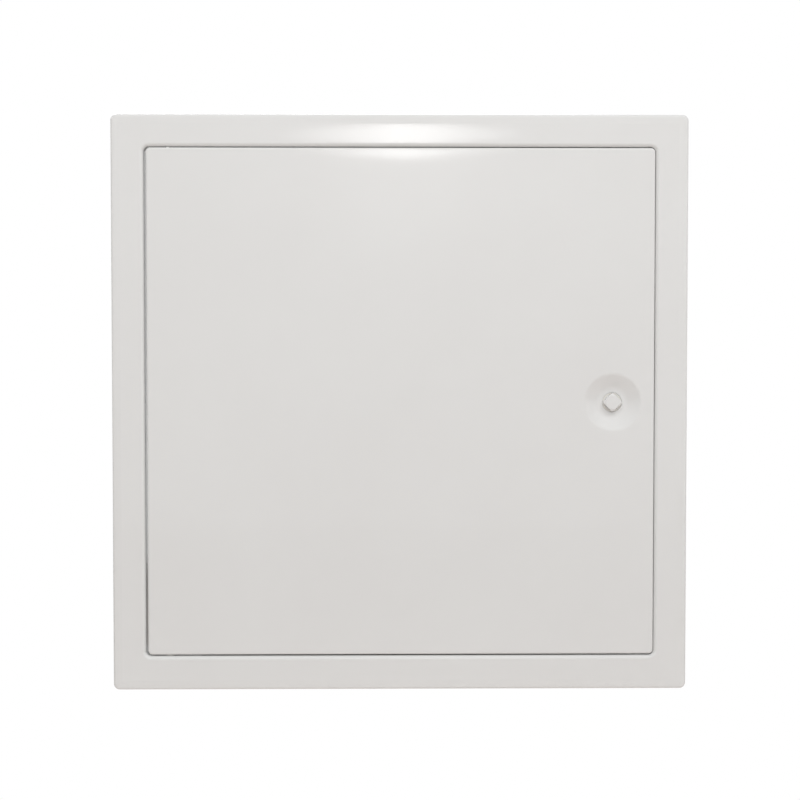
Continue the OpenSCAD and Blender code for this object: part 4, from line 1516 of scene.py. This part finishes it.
    def build_nut(self) -> Piece:
        """Turns the corners of a hexagon, and bores and countersinks it.

        Returns:
            The nut.
        """
        low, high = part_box("cam_nut")
        corner_r = high.x - LOCK.x
        flat = corner_r * math.cos(math.pi / 6)
        slant = (corner_r - flat) / 2
        clear_selection()
        bpy.ops.mesh.primitive_cylinder_add(
            vertices=6, radius=corner_r, depth=high.y - low.y,
            location=(LOCK.x, (low.y + high.y) / 2, LOCK.z), rotation=(math.pi / 2, math.pi / 6, 0))
        nut = take("hexagon_nut")
        face_r, wide_r = flat - self.nut_turned, corner_r + self.nut_turned
        blank = [(0, low.y), (face_r, low.y), (wide_r, low.y + slant),
                 (wide_r, high.y - slant), (face_r, high.y), (0, high.y)]
        combine(nut, turn("nut_blank", blank, Axis.Y, LOCK_AXIS, steps=96), Shared.COMMON)
        mouth_r = self.bore_r + self.nut_sink + SPARE
        bore = [(0, low.y - SPARE), (mouth_r, low.y - SPARE), (self.bore_r, low.y + self.nut_sink),
                (self.bore_r, high.y - self.nut_sink), (mouth_r, high.y + SPARE), (0, high.y + SPARE)]
        combine(nut, turn("nut_bore", bore, Axis.Y, LOCK_AXIS), Shared.CUT)
        edit(nut)
        close_seams()
        clear_flats()
        return nut


# Studio


@dataclass(frozen=True)
class Lamp:
    """Flat lamp that faces the panel's middle, with its size in metres and its power in watts."""

    name: str
    place: Triple
    size: Pair
    power: float
    shape: LampShape = LampShape.STRAIGHT
    mirrored: bool = True

    def add(self) -> None:
        """Adds the lamp, which glossy surfaces mirror only if it says so."""
        clear_selection()
        bpy.ops.object.light_add(type="AREA", location=self.place)
        lamp = bpy.context.object
        lamp.name = self.name
        lamp.rotation_euler = (-Vector(self.place)).to_track_quat("-Z", "Y").to_euler()
        lamp.visible_glossy = self.mirrored
        lamp.data.shape = self.shape.value
        lamp.data.size, lamp.data.size_y = self.size
        lamp.data.energy = self.power


SOFTBOX = Lamp("softbox", (0.22, -1.1, 1.12), (2.6, 1.2), 22.5, mirrored=False)
BACK_LIGHT = Lamp("back_light", (-0.3, 1.2, 0.9), (1.2, 0.8), 10.0)


@dataclass
class Studio:
    """Camera at the photograph's viewpoint, soft studio light and a pale floor."""

    camera_at: Triple = (-0.01374, -1.0, 0.04044)
    pitch_deg: float = -2.242
    yaw_deg: float = -0.786
    focal_px: float = 1735.7
    image_px: int = 800
    sensor: float = 36.0
    floor_drop: float = 0.28
    floor_side: float = 6.0
    floor_middle: float = -0.35
    floor_seen_r: float = 1.12
    floor_plain_r: float = 0.4
    floor_colour: str = "#F4EBE6"
    floor_rough: float = 0.9
    sky: float = 0.37
    flash_at: Triple = (0.026, -1.506, 0.315)
    flash_size: Pair = (0.34, 0.05)
    flash_power: float = 0.125
    flash_rings: int = 6

    def build(self) -> None:
        """Sets the colour view, camera, light and floor."""
        bpy.context.scene.view_settings.view_transform = "Standard"
        self.add_camera()
        self.add_world()
        for lamp in (*self.flash(), SOFTBOX, BACK_LIGHT):
            lamp.add()
        self.add_floor()

    def flash(self) -> list[Lamp]:
        """Splits the flash into nested lamps, so that its image fades towards both ends.

        Returns:
            The lamps, from the smallest to the widest.
        """
        lamps = []
        for ring in range(1, self.flash_rings + 1):
            share = ring / self.flash_rings
            place = (self.flash_at[0], self.flash_at[1] - ring * MM, self.flash_at[2])
            size = (share * self.flash_size[0], self.flash_size[1])
            lamps.append(Lamp(f"flash_{ring}", place, size, share * self.flash_power, LampShape.ROUND))
        return lamps

    def add_camera(self) -> None:
        """Adds the camera and makes it the scene's."""
        clear_selection()
        turned = (math.radians(90 + self.pitch_deg), 0.0, math.radians(self.yaw_deg))
        bpy.ops.object.camera_add(location=self.camera_at, rotation=turned)
        camera = bpy.context.object
        camera.data.sensor_width = self.sensor
        camera.data.lens = self.focal_px / self.image_px * self.sensor
        bpy.context.scene.camera = camera

    def add_world(self) -> None:
        """Makes the world a soft fill, which the eye and reflections see as plain white."""
        world = bpy.data.worlds.new("studio_white")
        bpy.context.scene.world = world
        world.use_nodes = True
        tree = world.node_tree
        tree.nodes.clear()
        rays = add_node(tree, "ShaderNodeLightPath")
        seen = add_node(tree, "ShaderNodeMath", {"operation": "MAXIMUM"},
                        {0: (rays, "Is Camera Ray"), 1: (rays, "Is Glossy Ray")})
        seen = add_node(tree, "ShaderNodeMath", {"operation": "MAXIMUM"},
                        {0: (seen, 0), 1: (rays, "Is Transmission Ray")})
        strength = add_node(tree, "ShaderNodeMapRange", {"To Min": self.sky, "To Max": 1.0},
                            {"Value": (seen, 0)})
        white = add_node(tree, "ShaderNodeBackground", {"Color": (1, 1, 1, 1)},
                         {"Strength": (strength, 0)})
        add_node(tree, "ShaderNodeOutputWorld", None, {"Surface": (white, 0)})

    def add_floor(self) -> None:
        """Lays a pale floor below the panel, of which the eye sees only the middle, out to white."""
        low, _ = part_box("frame")
        middle = (0, self.floor_middle, low.z - self.floor_drop)
        clear_selection()
        bpy.ops.mesh.primitive_plane_add(size=self.floor_side, location=middle)
        floor = take("floor")
        material = bpy.data.materials.new("pale_floor")
        material.use_nodes = True
        tree = material.node_tree
        coords = add_node(tree, "ShaderNodeTexCoord")
        away = add_node(tree, "ShaderNodeVectorMath", {"operation": "DISTANCE", 1: middle},
                        {0: (coords, "Object")})
        fade = add_node(tree, "ShaderNodeMapRange",
                        {"interpolation_type": "SMOOTHSTEP", "From Min": self.floor_plain_r,
                         "From Max": self.floor_seen_r, "To Min": 1.0, "To Max": 0.0},
                        {"Value": (away, "Value")})
        rays = add_node(tree, "ShaderNodeLightPath")
        unseen = add_node(tree, "ShaderNodeMath", {"operation": "SUBTRACT", 0: 1.0},
                          {1: (rays, "Is Camera Ray")})
        alpha = add_node(tree, "ShaderNodeMath", {"operation": "MAXIMUM"},
                         {0: (fade, 0), 1: (unseen, 0)})
        set_node(tree, tree.nodes["Principled BSDF"],
                 {"Base Color": linear(self.floor_colour), "Roughness": self.floor_rough},
                 {"Alpha": (alpha, 0)})
        floor.data.materials.append(material)


def main() -> None:
    logging.basicConfig(level=logging.INFO, format="%(name)s: %(message)s")
    WallFrame("frame").build()
    DoorLeaf("door").build()
    SprungPin("sprung_pin").build()
    KeyLock("lock").build()
    Studio().build()
    clear_selection()


if __name__ == "__main__":
    main()
